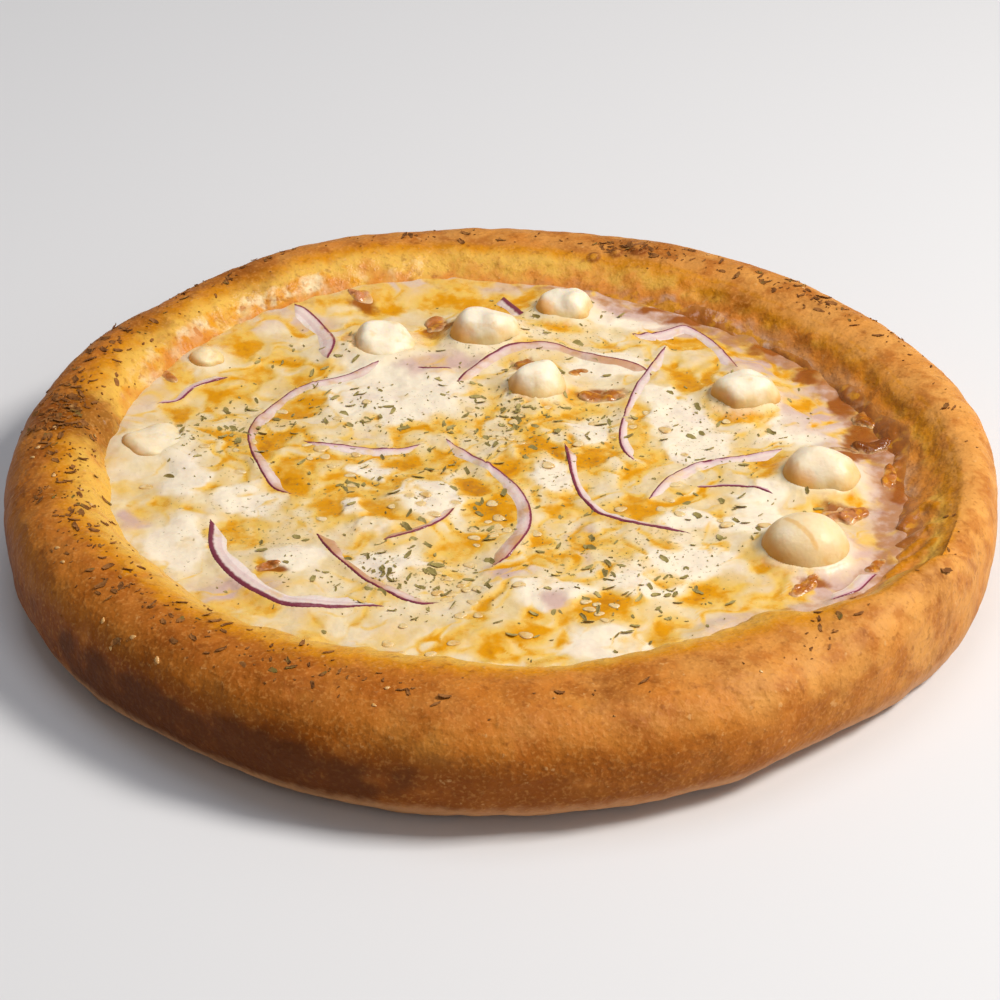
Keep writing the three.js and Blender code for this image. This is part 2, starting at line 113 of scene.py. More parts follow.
# How brown the wet inner slope turned, from 0, pale, to 1.
SLOPE_TOAST_STATIONS = (
    (-40, 1), (-10, 0.8), (5, 0.4), (25, 0.4), (45, 1.1), (60, 1.4), (75, 1.2), (95, 0.8),
    (150, 0.8),
)
# How golden the inner slope is, from 0, where sauce and thin cheese cover it, to 1.
SUNNY_STATIONS = (
    (-60, 1), (-45, 0.9), (-28, 0.9), (-16, 0.7), (-5, 0.5), (15, 0.4), (35, 0.4), (52, 0.5),
    (70, 0.8), (90, 1),
)
# How much cheese and fat ran up the inner slope, from 0, none, to 1.
FILM_STATIONS = (
    (-180, 0.6), (-165, 0.55), (-150, 0.45), (-135, 0.3), (-115, 0.1), (-90, 0), (60, 0),
    (75, 0.25), (95, 0.5), (110, 0.85), (130, 1), (150, 1), (165, 0.8),
)
# How much thin pinkish cheese veils the inner slope, from 0, none, to 1.
VEIL_STATIONS = (
    (-60, 0), (-40, 0.3), (-20, 0.7), (10, 0.6), (30, 0.5), (45, 1), (60, 1), (72, 0.8),
    (85, 0.2), (100, 0),
)
# How deeply the wall browned, with painted shade: deepest at the front left, which lies away from the
# light, and palest at the right, where painted light lies; from 0, pale orange, to 1, deep brown.
BROWNING_AND_SHADE_STATIONS = (
    (-175, 0.8), (-150, 0.85), (-135, 1.2), (-115, 1.25), (-95, 0.75), (-75, 0.55), (-55, 0.25),
    (-30, 0.05), (0, 0.05), (30, 0.15), (60, 0.3), (90, 0.3), (120, 0.45), (150, 0.7),
)
# Small lips of dough that lean in over the cheese: angle, how far in, and width, in millimetres.
LIPS = (
    (-129, 1.6, 3.2), (-122, 1.4, 5.0), (-109, 1.5, 2.4), (-105, 1.0, 3.0), (-97, 0.8, 4.0),
    (-77, 1.2, 4.5), (-73, 1.0, 3.0), (-58, 1.2, 4.0), (-50, 1.8, 5.0), (171, 1.2, 4.0),
    (-168, 1.0, 5.0), (-147, 1.3, 3.5),
)
# Toasted places on top of the rim: x, y, radius and depth of browning.
TOASTED = (
    (-128, 14, 16, 1.0), (-137, -8, 10, 0.5), (-134, -30, 12, 0.45), (-112, 72, 16, 0.5),
    (-95, -108, 14, 0.5), (-60, -132, 14, 0.5), (30, -130, 16, 0.45), (5, -134, 14, 0.35),
    (62, -122, 12, 0.4), (120, -76, 12, 0.5), (96, 88, 16, 0.35), (122, 48, 12, 0.25),
    (50, 128, 18, 0.5), (-20, 134, 14, 0.3), (118, 25, 8, 0.2), (127, 12, 7, 0.15),
    (106, 40, 7, 0.45), (101, 50, 7, 0.4), (84, 69, 7, 0.4), (76, 90, 9, 0.7), (64, 96, 6, 0.4),
    (122, -46, 4, 0.5), (-84, 106, 15, 0.6),
)
# Blisters that rose on the inner slope and the top: x, y, radius, height and how browned the ring is.
BLISTERS = (
    (31.0, 120.5, 2.2, 1.2, 0.7), (38.6, 121.4, 2.2, 1.2, 0.7), (46.0, 122.4, 3.2, 1.8, 1.0),
    (55.6, 114.5, 2.4, 0.7, 0.3), (61.0, 105.5, 2.2, 0.6, 0.1), (74.0, 97.0, 3.0, 0.7, 0.15),
    (87.0, 85.0, 2.2, 0.5, 0.0), (-12.0, 124.0, 2.2, 0.7, 0.3), (-29.0, 121.0, 1.8, 0.6, 0.2),
    (99.0, 70.0, 2.6, 0.5, 0.0), (-121.0, -42.0, 1.8, 0.5, 0.3), (-78.0, -92.0, 2.0, 0.7, 0.4),
)
# Where the browned ring lies and how wide it is, as shares of the blister's radius.
BLISTER_RING = 0.85
BLISTER_RING_WIDTH = 0.4
# Ridges of golden, glossy dough and cheese that ran down the inner slope at the right.
SLOPE_DRIPS = (
    ((119, -1), (117, -8), (116, -15), (114, -26)),
    ((117.5, -35), (121, -31), (125, -27), (127, -31)),
    ((111, -62), (115.5, -56), (121, -53), (124, -51)),
    ((116, -44), (120, -42), (124, -41)),
    ((112, -52), (117, -49), (121, -47)),
)
DRIP_WIDTH = 1.9
DRIP_RISE = 1.3
# The fold, where the front of the rim laps over its right side.
FOLD_PATH = ((101, -77), (107, -71.5), (115, -69.5), (122, -66), (131, -62), (139, -55))
FOLD_RISE = 1.3
FOLD_DROP = 1.5
FOLD_REACH = 9.0
FOLD_CREASE = 1.6
# Heights on the wall, in millimetres: below which its browning and painted shade are full, where its
# lower part, darkened with painted shade, ends, and where its pale foot ends.
BROWNED_AND_SHADED_BELOW = 32.0
SHADED_LOWER_WALL = 20.0
PALE_FOOT = 10.0


def around(stations, turn, column=1):
    """A measure given at some angles of the rim, eased between them, at each turn in degrees."""
    at = np.array([station[0] for station in stations], float)
    value = np.array([station[column] for station in stations], float)
    order = np.argsort(at)
    at, value = at[order], value[order]
    at = np.append(at, at[0] + 360)
    value = np.append(value, value[0])
    turn = (turn - at[0]) % 360 + at[0]
    place = np.clip(np.searchsorted(at, turn, side="right") - 1, 0, len(at) - 2)
    share = (turn - at[place]) / (at[place + 1] - at[place])
    eased = (share + share * share * (3 - 2 * share)) / 2
    return value[place] + (value[place + 1] - value[place]) * eased


def smoothstep(value, low, high):
    """0 below low, 1 above high, and a smooth climb between them."""
    share = np.clip((value - low) / (high - low), 0, 1)
    return share * share * (3 - 2 * share)


def bell(distance, width):
    """1 at no distance, and a soft fall to 0 within about twice the width."""
    return np.exp(-(distance / width) ** 2)


def grain(x, y, z, size, seed):
    """Smooth seeded relief between -1 and 1, with lumps about size millimetres across."""
    tilted = (0.80 * x + 0.60 * y, 0.64 * z - 0.46 * x + 0.61 * y, 0.77 * z + 0.38 * x - 0.51 * y)
    cells = [np.floor(c / size).astype(np.int64) for c in tilted]
    shares = [c / size - cell for c, cell in zip(tilted, cells)]
    fades = [s * s * s * (s * (6 * s - 15) + 10) for s in shares]
    total = np.zeros_like(fades[0])
    for corner in range(8):
        steps = (corner & 1, corner >> 1 & 1, corner >> 2)
        key = (cells[0] + steps[0]) * 73856093 ^ (cells[1] + steps[1]) * 19349663
        key = key ^ (cells[2] + steps[2]) * 83492791 ^ seed * 2654435761
        key = (key ^ key >> 13) * 1274126177
        weight = 1.0
        for step, fade in zip(steps, fades):
            weight = weight * (fade if step else 1 - fade)
        total += weight * ((key ^ key >> 16 & 0xFFFF) % 65536 / 32767.5 - 1)
    return total


def relief_of(x, y, z, layers, own=0):
    """Unevenness in several sizes, laid over each other. Own gives each piece lumps of its own."""
    return sum(height * grain(x, y, z, size, seed + own) for height, size, seed in layers)


def path_distance(x, y, path):
    """Distance to a bent line, negative on its right, and how far along it the nearest point is."""
    best = np.full(np.shape(x), 1e9)
    share = np.zeros(np.shape(x))
    legs = len(path) - 1
    for leg in range(legs):
        (ax, ay), (bx, by) = path[leg], path[leg + 1]
        dx, dy = bx - ax, by - ay
        along = np.clip(((x - ax) * dx + (y - ay) * dy) / (dx * dx + dy * dy), 0, 1)
        ox, oy = x - ax - along * dx, y - ay - along * dy
        distance = np.hypot(ox, oy)
        nearer = distance < np.abs(best)
        side = np.where(dx * oy - dy * ox < 0, -1.0, 1.0)
        best = np.where(nearer, distance * side, best)
        share = np.where(nearer, (leg + along) / legs, share)
    return best, share


def lip_reach(turn):
    """How far the torn inner edge leans in at each angle."""
    arc = np.radians(turn) * LIP_RADIUS
    reach = relief_of(arc, 0 * arc, 0 * arc, LIP_RELIEF)
    for at, inward, width in LIPS:
        reach += inward * bell(((turn - at + 180) % 360 - 180) * LIP_SHARPNESS, width)
    return reach


def rim_outline(turn):
    """Outer radius, height, crest and cheese radius of the rim at each angle."""
    a = np.radians(turn)
    outer = OUTER_RADIUS + OVALNESS * np.sin(2 * a) + FOUR_CORNERS * (np.cos(4 * a) - 1)
    long_wave, wave, short_wave = CREST_WAVES
    height = CRUST_HEIGHT - CREST_SINK + long_wave * np.sin(3 * a + 1)
    height += wave * np.sin(7 * a) + short_wave * np.cos(12 * a)
    return outer, height, around(RIM_STATIONS, turn, CREST), around(RIM_STATIONS, turn, CHEESE_EDGE)


def rim_section(turn):
    """The rim cut at one angle: radius and height of its skin, from the foot to under the cheese."""
    turn = np.array([turn])
    outer, height, crest, cheese = (float(part[0]) for part in rim_outline(turn))
    lean = float(lip_reach(turn)[0])
    half = (outer - crest) / 2 + CREST_OVERLAP
    wall = np.radians(np.linspace(-90, 90, WALL_STEPS))
    radius = outer - half + half * np.abs(np.cos(wall)) ** WALL_SQUARENESS
    level = height / 2 * (1 + np.sign(np.sin(wall)) * np.abs(np.sin(wall)) ** WALL_SQUARENESS)
    inner = [
        (crest + BEND_SHARE * (half - lean), height - BEND_DROP),
        (crest - lean, height - CREST_DROP),
        (crest - SLOPE_SHARE * (crest - cheese) - 0.7 * lean, height - SLOPE_DROP),
        (cheese, CHEESE_LEVEL),
        (cheese - FLOOR_SET_IN, DOUGH_FLOOR + FLOOR_BEND),
    ]
    slope = np.array([(radius[-4], level[-4]), (radius[-1], level[-1])] + inner)
    for _ in range(3):
        quarter = slope[:-1] * 0.75 + slope[1:] * 0.25
        three = slope[:-1] * 0.25 + slope[1:] * 0.75
        middle = np.stack([quarter, three], axis=1).reshape(-1, 2)
        slope = np.concatenate([slope[:1], middle, slope[-1:]])
    return np.concatenate([np.stack([radius, level], axis=1)[:-4], slope])


def evenly(line, count):
    """count + 1 points, evenly spaced along a line of points."""
    steps = np.hypot(*np.diff(line, axis=0).T)
    along = np.concatenate([[0], np.cumsum(steps)])
    at = np.linspace(0, along[-1], count + 1)
    return np.stack([np.interp(at, along, part) for part in line.T], axis=1)


def drip_field(x, y):
    """How near each point is to one of the ridges that ran down the slope, from 0 to 1."""
    nearest = np.full(np.shape(x), 1e9)
    for path in SLOPE_DRIPS:
        nearest = np.minimum(nearest, np.abs(path_distance(x, y, path)[0]))
    return bell(nearest, DRIP_WIDTH)


def crust_skin():
    """Every point of the crust and the way it faces, in columns round the rim and rows over it."""
    turns = np.linspace(-180, 180, CRUST_COLUMNS, endpoint=False)
    skin = np.zeros((CRUST_COLUMNS, CRUST_ROWS + 1, 2))
    for column, turn in enumerate(turns):
        shown = evenly(rim_section(turn), SHOWN_ROWS)
        under = np.outer(np.arange(UNDERSIDE_ROWS) / UNDERSIDE_ROWS, shown[0])
        floor = np.linspace((shown[-1][0] - 1, DOUGH_FLOOR), (0, DOUGH_FLOOR), FLOOR_ROWS)
        skin[column] = np.concatenate([under, shown, floor])
    way = np.gradient(skin, axis=1)
    way /= np.maximum(np.hypot(way[..., 0], way[..., 1]), 1e-9)[..., None]
    a = np.radians(turns)[:, None]
    radius, z = skin[..., 0], skin[..., 1]
    x, y = radius * np.cos(a), radius * np.sin(a)
    facing = np.stack([way[..., 1] * np.cos(a), way[..., 1] * np.sin(a), -way[..., 0]], axis=-1)
    relief = relief_of(x, y, z, DOUGH_RELIEF)
    on_slope = smoothstep(around(RIM_STATIONS, turns, CREST)[:, None] + 1 - radius, 0, 4)
    wet_side = np.maximum(around(WET_STATIONS, turns), around(FILM_STATIONS, turns))[:, None]
    relief += on_slope * wet_side * relief_of(x, y, z, SLOPE_RELIEF)
    for bx, by, size, rise, _ in BLISTERS:
        relief += np.where(z > CHEESE_LEVEL, rise * bell(np.hypot(x - bx, y - by), size), 0)
    relief += DRIP_RISE * drip_field(x, y) * (z > CHEESE_LEVEL - 1)
    relief *= smoothstep(z, 0.2, 3.0) * smoothstep(radius, RIM_FROM, RIM_FULL)
    foot = relief_of(x, y, z, FOOT_RELIEF) * (z < 4) * (radius > FOOT_FROM)
    points = np.stack([x, y, z], axis=-1) + facing * (relief + foot * smoothstep(z, 0, 1.5))[..., None]
    apart, share = path_distance(x, y, FOLD_PATH)
    ends = smoothstep(share, 0.0, 0.18) * smoothstep(1 - share, 0.0, 0.25) * (z > 20)
    raised = FOLD_RISE * np.exp(np.minimum(apart, 0) / FOLD_REACH) * smoothstep(-apart, -1.2, 1.4)
    sunk = FOLD_DROP * np.exp(-np.maximum(apart, 0) / FOLD_REACH) * smoothstep(apart, -1.4, 1.2)
    points[..., 2] += ends * (raised - sunk)
    points[..., 2] = np.maximum(points[..., 2], 0)
    return turns, points, facing


def as_mesh(name, shape):
    """The mesh of a finished bmesh."""
    mesh = bpy.data.meshes.new(name)
    shape.to_mesh(mesh)
    shape.free()
    return mesh


def corners_of(mesh):
    """The x, y and z of every point of a mesh."""
    flat = np.zeros(len(mesh.vertices) * 3, np.float32)
    mesh.vertices.foreach_get("co", flat)
    return flat.reshape(-1, 3).T.astype(float)


def lay_out(mesh, x, y, z, marks):
    """Puts a mesh's points in place, in millimetres, and stores the marks that it is painted by."""
    points = np.stack([x, y, z], axis=1) * MM
    mesh.vertices.foreach_set("co", points.astype(np.float32).ravel())
    for mark, values in marks.items():
        layer = mesh.attributes.new(mark, "FLOAT", "POINT")
        layer.data.foreach_set("value", values.astype(np.float32))


def mapped_grid(name, columns, rows, place):
    """A fine net of squares. place(u, v) gives the points in millimetres, and marks to paint by."""
    net = bmesh.new()
    bmesh.ops.create_grid(net, x_segments=columns, y_segments=rows, size=0.5)
    mesh = as_mesh(name, net)
    across, along, _ = corners_of(mesh)
    points, marks = place(across + 0.5, along + 0.5)
    lay_out(mesh, *points.T, marks)
    return mesh


def close_up(mesh, ends=False):
    """Merges points that meet at seams and poles, fills open ends, and turns faces outwards."""
    shape = bmesh.new()
    shape.from_mesh(mesh)
    bmesh.ops.remove_doubles(shape, verts=shape.verts, dist=WELD * MM)
    if ends:
        edges = [edge for edge in shape.edges if edge.is_boundary]
        bmesh.ops.holes_fill(shape, edges=edges, sides=0)
    bmesh.ops.dissolve_degenerate(shape, dist=SLIVER * MM, edges=shape.edges)
    bmesh.ops.recalc_face_normals(shape, faces=shape.faces)
    for face in shape.faces:
        face.smooth = True
    shape.to_mesh(mesh)
    shape.free()


def put(name, data):
    """Puts a mesh, a lamp or a camera in the scene."""
    made = bpy.data.objects.new(name, data)
    bpy.context.scene.collection.objects.link(made)
    return made


def set_piece(name, mesh, material, slot, *nodes):
    """Puts a mesh in the scene, on the pizza's one body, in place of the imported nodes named."""
    piece = put(name, mesh)
    mesh.materials.append(material)
    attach(piece, "root")
    if nodes:
        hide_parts(*nodes)


def srgb(text):
    """An sRGB hex colour as linear light, with full alpha."""
    parts = [int(text[at:at + 2], 16) / 255 for at in (1, 3, 5)]
    return tuple(p / 12.92 if p <= 0.04045 else ((p + 0.055) / 1.055) ** 2.4 for p in parts) + (1.0,)


def add(tree, kind, sockets=None, **settings):
    """Adds one node. A socket is named by its identifier and takes a value, a socket or a node."""
    made = tree.nodes.new(kind)
    for name, value in settings.items():
        setattr(made, name, value)
    for name, value in (sockets or {}).items():
        socket = next(s for s in made.inputs if s.identifier == name)
        if isinstance(value, bpy.types.Node):
            value = next(s for s in value.outputs if s.enabled)
        if isinstance(value, bpy.types.NodeSocket):
            tree.links.new(value, socket)
        else:
            socket.default_value = value
    return made


def paint(tree, ground, coats):
    """Lays coats of colour over a ground colour, and gives the last colour and each coat's mask.

    A coat shows where its mark on the mesh, made ragged by patches of a size in millimetres,
    climbs from low to high. A coat without a mark is made by the patches alone.
    """
    place = add(tree, "ShaderNodeTexCoord").outputs["Object"]
    colour = srgb(ground)
    masks = {}
    for name, mark, patch, ragged, low, high, shade, strength in coats:
        start = add(tree, "ShaderNodeAttribute", attribute_name=mark).outputs["Fac"] if mark else 0.0
        patches = add(
            tree, "ShaderNodeTexNoise", {"Vector": place, "Scale": 1 / (patch * MM), "Detail": 3.0}
        )
        field = add(
            tree,
            "ShaderNodeMath",
            {"Value": patches, "Value_001": ragged, "Value_002": start},
            operation="MULTIPLY_ADD",
        )
        masks[name] = add(
            tree,
            "ShaderNodeMapRange",
            {
                "Value": field,
                "From Min": low + ragged / 2,
                "From Max": high + ragged / 2,
                "To Max": strength,
            },
            interpolation_type="SMOOTHSTEP",
        )
        colour = add(
            tree,
            "ShaderNodeMix",
            {"Factor_Float": masks[name], "A_Color": colour, "B_Color": srgb(shade)},
            data_type="RGBA",
        )
    return colour, masks


def baked_food(name, ground, coats, shader_values, bumps, gloss=None):
    """A material of one shader: coats of colour over a ground, gloss, and fine relief.

    Each bump gives a size and a depth in millimetres. Gloss names the coat whose mask it follows,
    and the roughness without and with that coat.
    """
    material = bpy.data.materials.new(name)
    material.use_nodes = True
    tree = material.node_tree
    shader = tree.nodes["Principled BSDF"]
    colour, masks = paint(tree, ground, coats)
    tree.links.new(next(s for s in colour.outputs if s.enabled), shader.inputs["Base Color"])
    for socket, value in shader_values.items():
        shader.inputs[socket].default_value = value
    if gloss:
        mask, dry, wet = gloss
        rough = add(tree, "ShaderNodeMapRange", {"Value": masks[mask], "To Min": dry, "To Max": wet})
        tree.links.new(rough.outputs["Result"], shader.inputs["Roughness"])
    place = add(tree, "ShaderNodeTexCoord").outputs["Object"]
    normal = None
    for patch, depth in bumps:
        patches = add(
            tree, "ShaderNodeTexNoise", {"Vector": place, "Scale": 1 / (patch * MM), "Detail": 2.0}
        )
        sockets = {"Height": patches, "Distance": depth * MM}
        if normal:
            sockets["Normal"] = normal
        normal = add(tree, "ShaderNodeBump", sockets)
    tree.links.new(normal.outputs["Normal"], shader.inputs["Normal"])
    return material


def blister_rings(x, y, z):
    """The browned ring round each blister."""
    ring = np.zeros_like(x)
    for bx, by, size, _, browned in BLISTERS:
        near = np.hypot(x - bx, y - by) / size
        ring = np.maximum(ring, browned * bell(near - BLISTER_RING, BLISTER_RING_WIDTH))
    return np.where(z > CHEESE_LEVEL, ring, 0)


def toast_field(x, y):
    """How toasted the top of the rim is at each place."""
    depth = np.zeros_like(x)
    for tx, ty, size, browned in TOASTED:
        depth = np.maximum(depth, browned * bell(np.hypot(x - tx, y - ty), size))
    return depth


def crust_place(u, v):
    """Points and paint marks of the crust."""
    column = np.rint(u * CRUST_COLUMNS).astype(int) % CRUST_COLUMNS
    row = np.rint(v * CRUST_ROWS).astype(int)
    points = crust_points[column, row]
    turn = crust_turns[column]
    x, y, z = points.T
    radius = np.hypot(x, y)
    crest = around(RIM_STATIONS, turn, CREST)
    edge = around(RIM_STATIONS, turn, CHEESE_EDGE)
    golden = 1 - (radius - crest) / around(GOLDEN_STATIONS, turn)
    golden = np.where(z > 22, golden, -1)
    sunny = np.where(radius < crest + 3, around(SUNNY_STATIONS, turn), 1)
    slope = np.where(z > 20, (crest - radius) / (crest - edge), -1)
    wet_side = around(WET_STATIONS, turn)
    slope_toast = around(SLOPE_TOAST_STATIONS, turn)
    down_the_wall = smoothstep(BROWNED_AND_SHADED_BELOW - z, 1, 13)
    fold, _ = path_distance(x, y, FOLD_PATH)
    marks = {
        "golden": np.clip(golden * sunny - 0.3 * (1 - sunny), -2, 2),
        "film": around(FILM_STATIONS, turn) * smoothstep(golden, 0.5, 1.15),
        "blister": blister_rings(x, y, z),
        "drip": drip_field(x, y) * (z > CHEESE_LEVEL - 2),
        "veil": np.clip(slope, -1, 1.2) * around(VEIL_STATIONS, turn),
        # Browning together with painted shade, fuller down the wall.
        "browning_and_shade": around(BROWNING_AND_SHADE_STATIONS, turn) * (0.35 + 0.65 * down_the_wall),
        "foot": 1 - z / PALE_FOOT,
        # Painted shade on the wall's lower part.
        "lower_wall_shade": 1 - z / SHADED_LOWER_WALL,
        "milky": slope * wet_side,
        "toasted_slope": wet_side * slope_toast * (1 - np.abs(slope - 0.75) / 0.55),
        "toasted_top": toast_field(x, y),
        # The fold mark places painted shade along the crease.
        "fold": np.exp(-np.abs(fold) / FOLD_CREASE) * (z > CHEESE_LEVEL),
    }
    return points, marks


crust_turns, crust_points, crust_facing = crust_skin()
crust_mesh = mapped_grid("crust_dough", CRUST_COLUMNS, CRUST_ROWS, crust_place)
close_up(crust_mesh)

# Baked wheat dough: a matt, slightly greasy skin, orange brown with pale floury specks, darker where it
# toasted and golden where oil soaked in. Its wall also carries painted shade, darker at the front left
# and low down, and painted light, paler at the right.
crust_coats = (
    # name, mark, patch mm, ragged, low, high, colour, strength
    ("pale", None, 18.0, 1.0, -0.05, 0.25, "#dc9c46", 0.7),
    # Painted light: peach where the wall is least browned, at the right.
    ("peach_painted_light", "browning_and_shade", 16.0, -0.6, 0.35, -0.05, "#dda356", 0.75),
    ("mottle", None, 9.0, 1.0, -0.04, 0.16, "#a4560c", 0.6),
    # Deep browning, with painted shade at the front left.
    ("deep", "browning_and_shade", 12.0, 0.6, -0.2, 0.85, "#8a4400", 0.95),
    # Painted shade: the wall darker towards its bottom.
    ("low", "lower_wall_shade", 8.0, 0.5, 0.1, 0.9, "#7a3c04", 0.35),
    ("golden", "golden", 4.0, 0.9, -0.1, 0.6, "#cc8402", 0.95),
    ("slope", "golden", 6.0, 0.9, 0.35, 1.0, "#ddb04e", 0.85),
    ("film", "film", 5.0, 0.9, 0.2, 0.8, "#deb04e", 0.92),
    ("film_white", "film", 9.0, 1.8, 0.85, 1.25, "#ecdcb6", 0.75),
    ("film_fat", "film", 6.0, 1.8, 0.94, 1.2, "#d8940f", 0.9),
    ("film_brown", "film", 3.6, 1.8, 1.16, 1.36, "#b0621c", 0.7),
    ("toasted", "toasted_top", 4.0, 0.7, 0.15, 0.8, "#7a3a02", 0.8),
    ("orange_slope", "milky", 7.0, 1.0, 0.0, 0.4, "#cc7c2e", 0.85),
    ("brown_slope", "toasted_slope", 9.0, 1.0, 0.3, 0.95, "#a45c22", 0.55),
    ("milky", "milky", 9.0, 1.4, 0.4, 1.0, "#c9a078", 0.6),
    ("veil", "veil", 7.0, 1.4, 0.45, 0.95, "#cfae98", 0.85),
    ("slope_spots", "toasted_slope", 3.4, 1.6, 0.9, 1.15, "#7c430c", 0.6),
    ("slope_gold", "toasted_slope", 4.4, 1.6, 0.7, 1.0, "#c98714", 0.85),
    ("drips", "drip", 3.0, 0.8, 0.2, 0.8, "#c47c0a", 0.95),
    ("blisters", "blister", 1.5, 0.4, 0.2, 0.75, "#7a3c0c", 0.85),
    # Painted shade: the dough darkened along the crease of the fold.
    ("crease", "fold", 2.0, 0.3, 0.3, 0.9, "#94501a", 0.6),
    ("grains", None, 1.2, 1.0, 0.0, 0.2, "#dd9c52", 0.32),
    ("pits", None, 1.3, 1.0, 0.06, 0.2, "#7c3f08", 0.3),
    ("specks", None, 2.6, 1.0, 0.17, 0.26, "#e6b270", 0.45),
    ("blots", None, 3.4, 1.0, 0.1, 0.24, "#7c3f08", 0.45),
    # Painted shade with browning, darkest at the front left and low on the wall.
    ("burnt_and_painted_shade", "browning_and_shade", 10.0, 1.0, 0.7, 1.15, "#542600", 0.8),
    ("foot", "foot", 3.0, 0.4, -0.1, 0.45, "#cb9464", 0.9),
)
crust_material = baked_food(
    "baked_wheat_dough",
    "#cc7d2a",
    crust_coats,
    {"IOR": 1.45, "Specular IOR Level": 0.16},
    ((1.2, 0.2), (2.6, 0.45), (6.0, 0.7)),
    gloss=("golden", 0.54, 0.32),
)
set_piece("crust_dough", crust_mesh, crust_material, "baked_dough", "crust")


# Tomato sauce
# A thin smear of cooked tomato and oil between the dough and the cheese. It was spooned on
# before baking, and shows only where it crept up the inner slope at the right and the back.
SAUCE_ROWS = 22
SAUCE_SKIN = 0.45
SAUCE_SUNK = 1.1
SAUCE_DRIED_IN = 0.25
SAUCE_EDGE = ((0.4, 15.0, 41), (0.06, 6.0, 42))
SAUCE_LUMPS = ((0.5, 5.0, 43),)
SAUCE_STATIONS = (
    # angle in degrees, how far up the slope the smear reaches, from 0 at the cheese to 1 at the crest
    (-160, -0.6), (-70, -0.4), (-52, 0.1), (-36, 0.2), (-20, 0.3), (0, 0.5), (16, 0.6),
    (35, 0.35), (50, 0.35), (66, 0.15), (84, -0.1), (110, -0.4),
)


def sauce_place(u, v):
    """The smear follows the crust's own inner slope: up on its face, and back under the skin."""
    column = np.rint(u * CRUST_COLUMNS).astype(int) % CRUST_COLUMNS
    step = np.rint(v * SAUCE_ROWS * 2).astype(int) % (SAUCE_ROWS * 2)
    step = np.minimum(step, SAUCE_ROWS * 2 - step)
    last = UNDERSIDE_ROWS + SHOWN_ROWS
    row = last - step
    base = crust_points[column, row]
    facing = crust_facing[column, row]
    turn = crust_turns[column]
    x, y, z = base.T
    crest = around(RIM_STATIONS, turn, CREST)
    edge = around(RIM_STATIONS, turn, CHEESE_EDGE)
    up = (np.hypot(x, y) - edge) / (crest - edge)
    reach = around(SAUCE_STATIONS, turn) + relief_of(x, y, z, SAUCE_EDGE)
    present = smoothstep(reach - up, -0.2, 0.5)
    thick = SAUCE_SKIN * (1 + relief_of(x, y, z, SAUCE_LUMPS)) * present
    thick = thick - SAUCE_DRIED_IN * (1 - present)
    outer = np.rint(v * SAUCE_ROWS * 2) <= SAUCE_ROWS
    ends = (step == 0) | (step == SAUCE_ROWS)
    offset = np.where(outer & ~ends, thick, -SAUCE_SUNK)
    return base + facing * offset[:, None], {"thick": thick}


sauce_mesh = mapped_grid("sauce_smear", CRUST_COLUMNS, SAUCE_ROWS * 2, sauce_place)
close_up(sauce_mesh)

# Cooked tomato and oil: translucent orange brown, wet and glossy.
sauce_coats = (
    ("dark", None, 5.0, 1.0, -0.02, 0.2, "#854304", 0.8),
    ("gold", None, 5.0, 1.0, 0.0, 0.14, "#cf8c16", 0.9),
    ("milky", None, 8.0, 1.0, 0.06, 0.22, "#c99a72", 0.7),
    ("thin", "thick", 3.0, -0.4, 0.35, -0.1, "#b8762e", 0.9),
)
sauce_material = baked_food(
    "cooked_tomato_oil",
    "#a05a0c",
    sauce_coats,
    {"Roughness": 0.2, "IOR": 1.46, "Coat Weight": 0.5, "Coat Roughness": 0.06},
    ((4.0, 0.6), (1.6, 0.15)),
)
set_piece("sauce_smear", sauce_mesh, sauce_material, "tomato_sauce", "tomato_sauce")


# Melted cheese
# A sheet of shredded mozzarella that melted together in the oven. Whiter islands stand up in it,
# and the yellow butterfat that sweated out lies between them in small glossy pools.
CHEESE_CELLS = 306
CHEESE_INTO_DOUGH = 3.0
CHEESE_BOTTOM = 19.0
# How far the face of the cheese stands over its level, at the edge and more in the middle, how far
# before the slope its flat part ends, and how wide its shoulder is, as a share of the radius.
CHEESE_ABOVE = 0.2
CHEESE_CROWN = 1.2
CHEESE_SHORT = 2.3
CHEESE_SHOULDER = 0.16
# Swells of the sheet. Then, in layers, how ragged the outlines on it are: size of the waves, how
# far they push the outline, and seed. Then its lumps and its fine grain, as for the dough.
BROAD_SWELL = 0.8
SMALL_SWELL = 0.5
RAGGED_OUTLINES = ((7.0, 3.2, 51), (2.6, 1.1, 53))
CHEESE_LUMPS = ((0.75, 13.0, 55), (0.5, 6.0, 56))
CHEESE_GRAIN = ((0.07, 2.8, 58), (0.03, 1.6, 59))
# Veins of fat: level, sharpness, size in millimetres and seed.
VEINS = (0.5, 2.5, 14.0, 57)
FINE_VEINS = (0.3, 2.2, 7.0, 60)
# Gaps in the veins, raggedness of the fat, and how unevenly the edge clings to the dough.
VEIN_GAPS = ((0.55, 10.0, 61),)
FAT_RAGGED = ((0.3, 4.0, 62),)
EDGE_CLING = ((1.2, 6.0, 63),)
# Width of the amber ring round a garlic granule.
AMBER_WIDTH = 0.8
MOZZARELLA_BALLS = (
    # x, y, width, height, unevenness
    (88, -49, 26, 12.6, 0.012), (96, -8, 23, 9.4, 0.045), (76, 38.5, 20, 7.6, 0.045),
    (11, 46, 18, 9, 0.04), (-5, 79, 23, 9.5, 0.05), (-38, 72, 22, 8, 0.055),
    (21, 96, 18, 7.5, 0.055), (-105.5, 11, 20, 4.6, 0.075), (-94, 62, 11, 4.2, 0.06),
)
BALL_BREADTH = 0.94
# The foot of a ball: how far it ran out, how much further for a ball that melted unevenly, and how
# raggedly, in millimetres. Then how high it stands, as a share of the ball's height.
FOOT_REACH = 3.6
FOOT_MELTED = 60
FOOT_RAGGED = ((1.6, 6.0, 64),)
FOOT_HEIGHT = 0.24
FOOT_MELTED_HEIGHT = 3.6
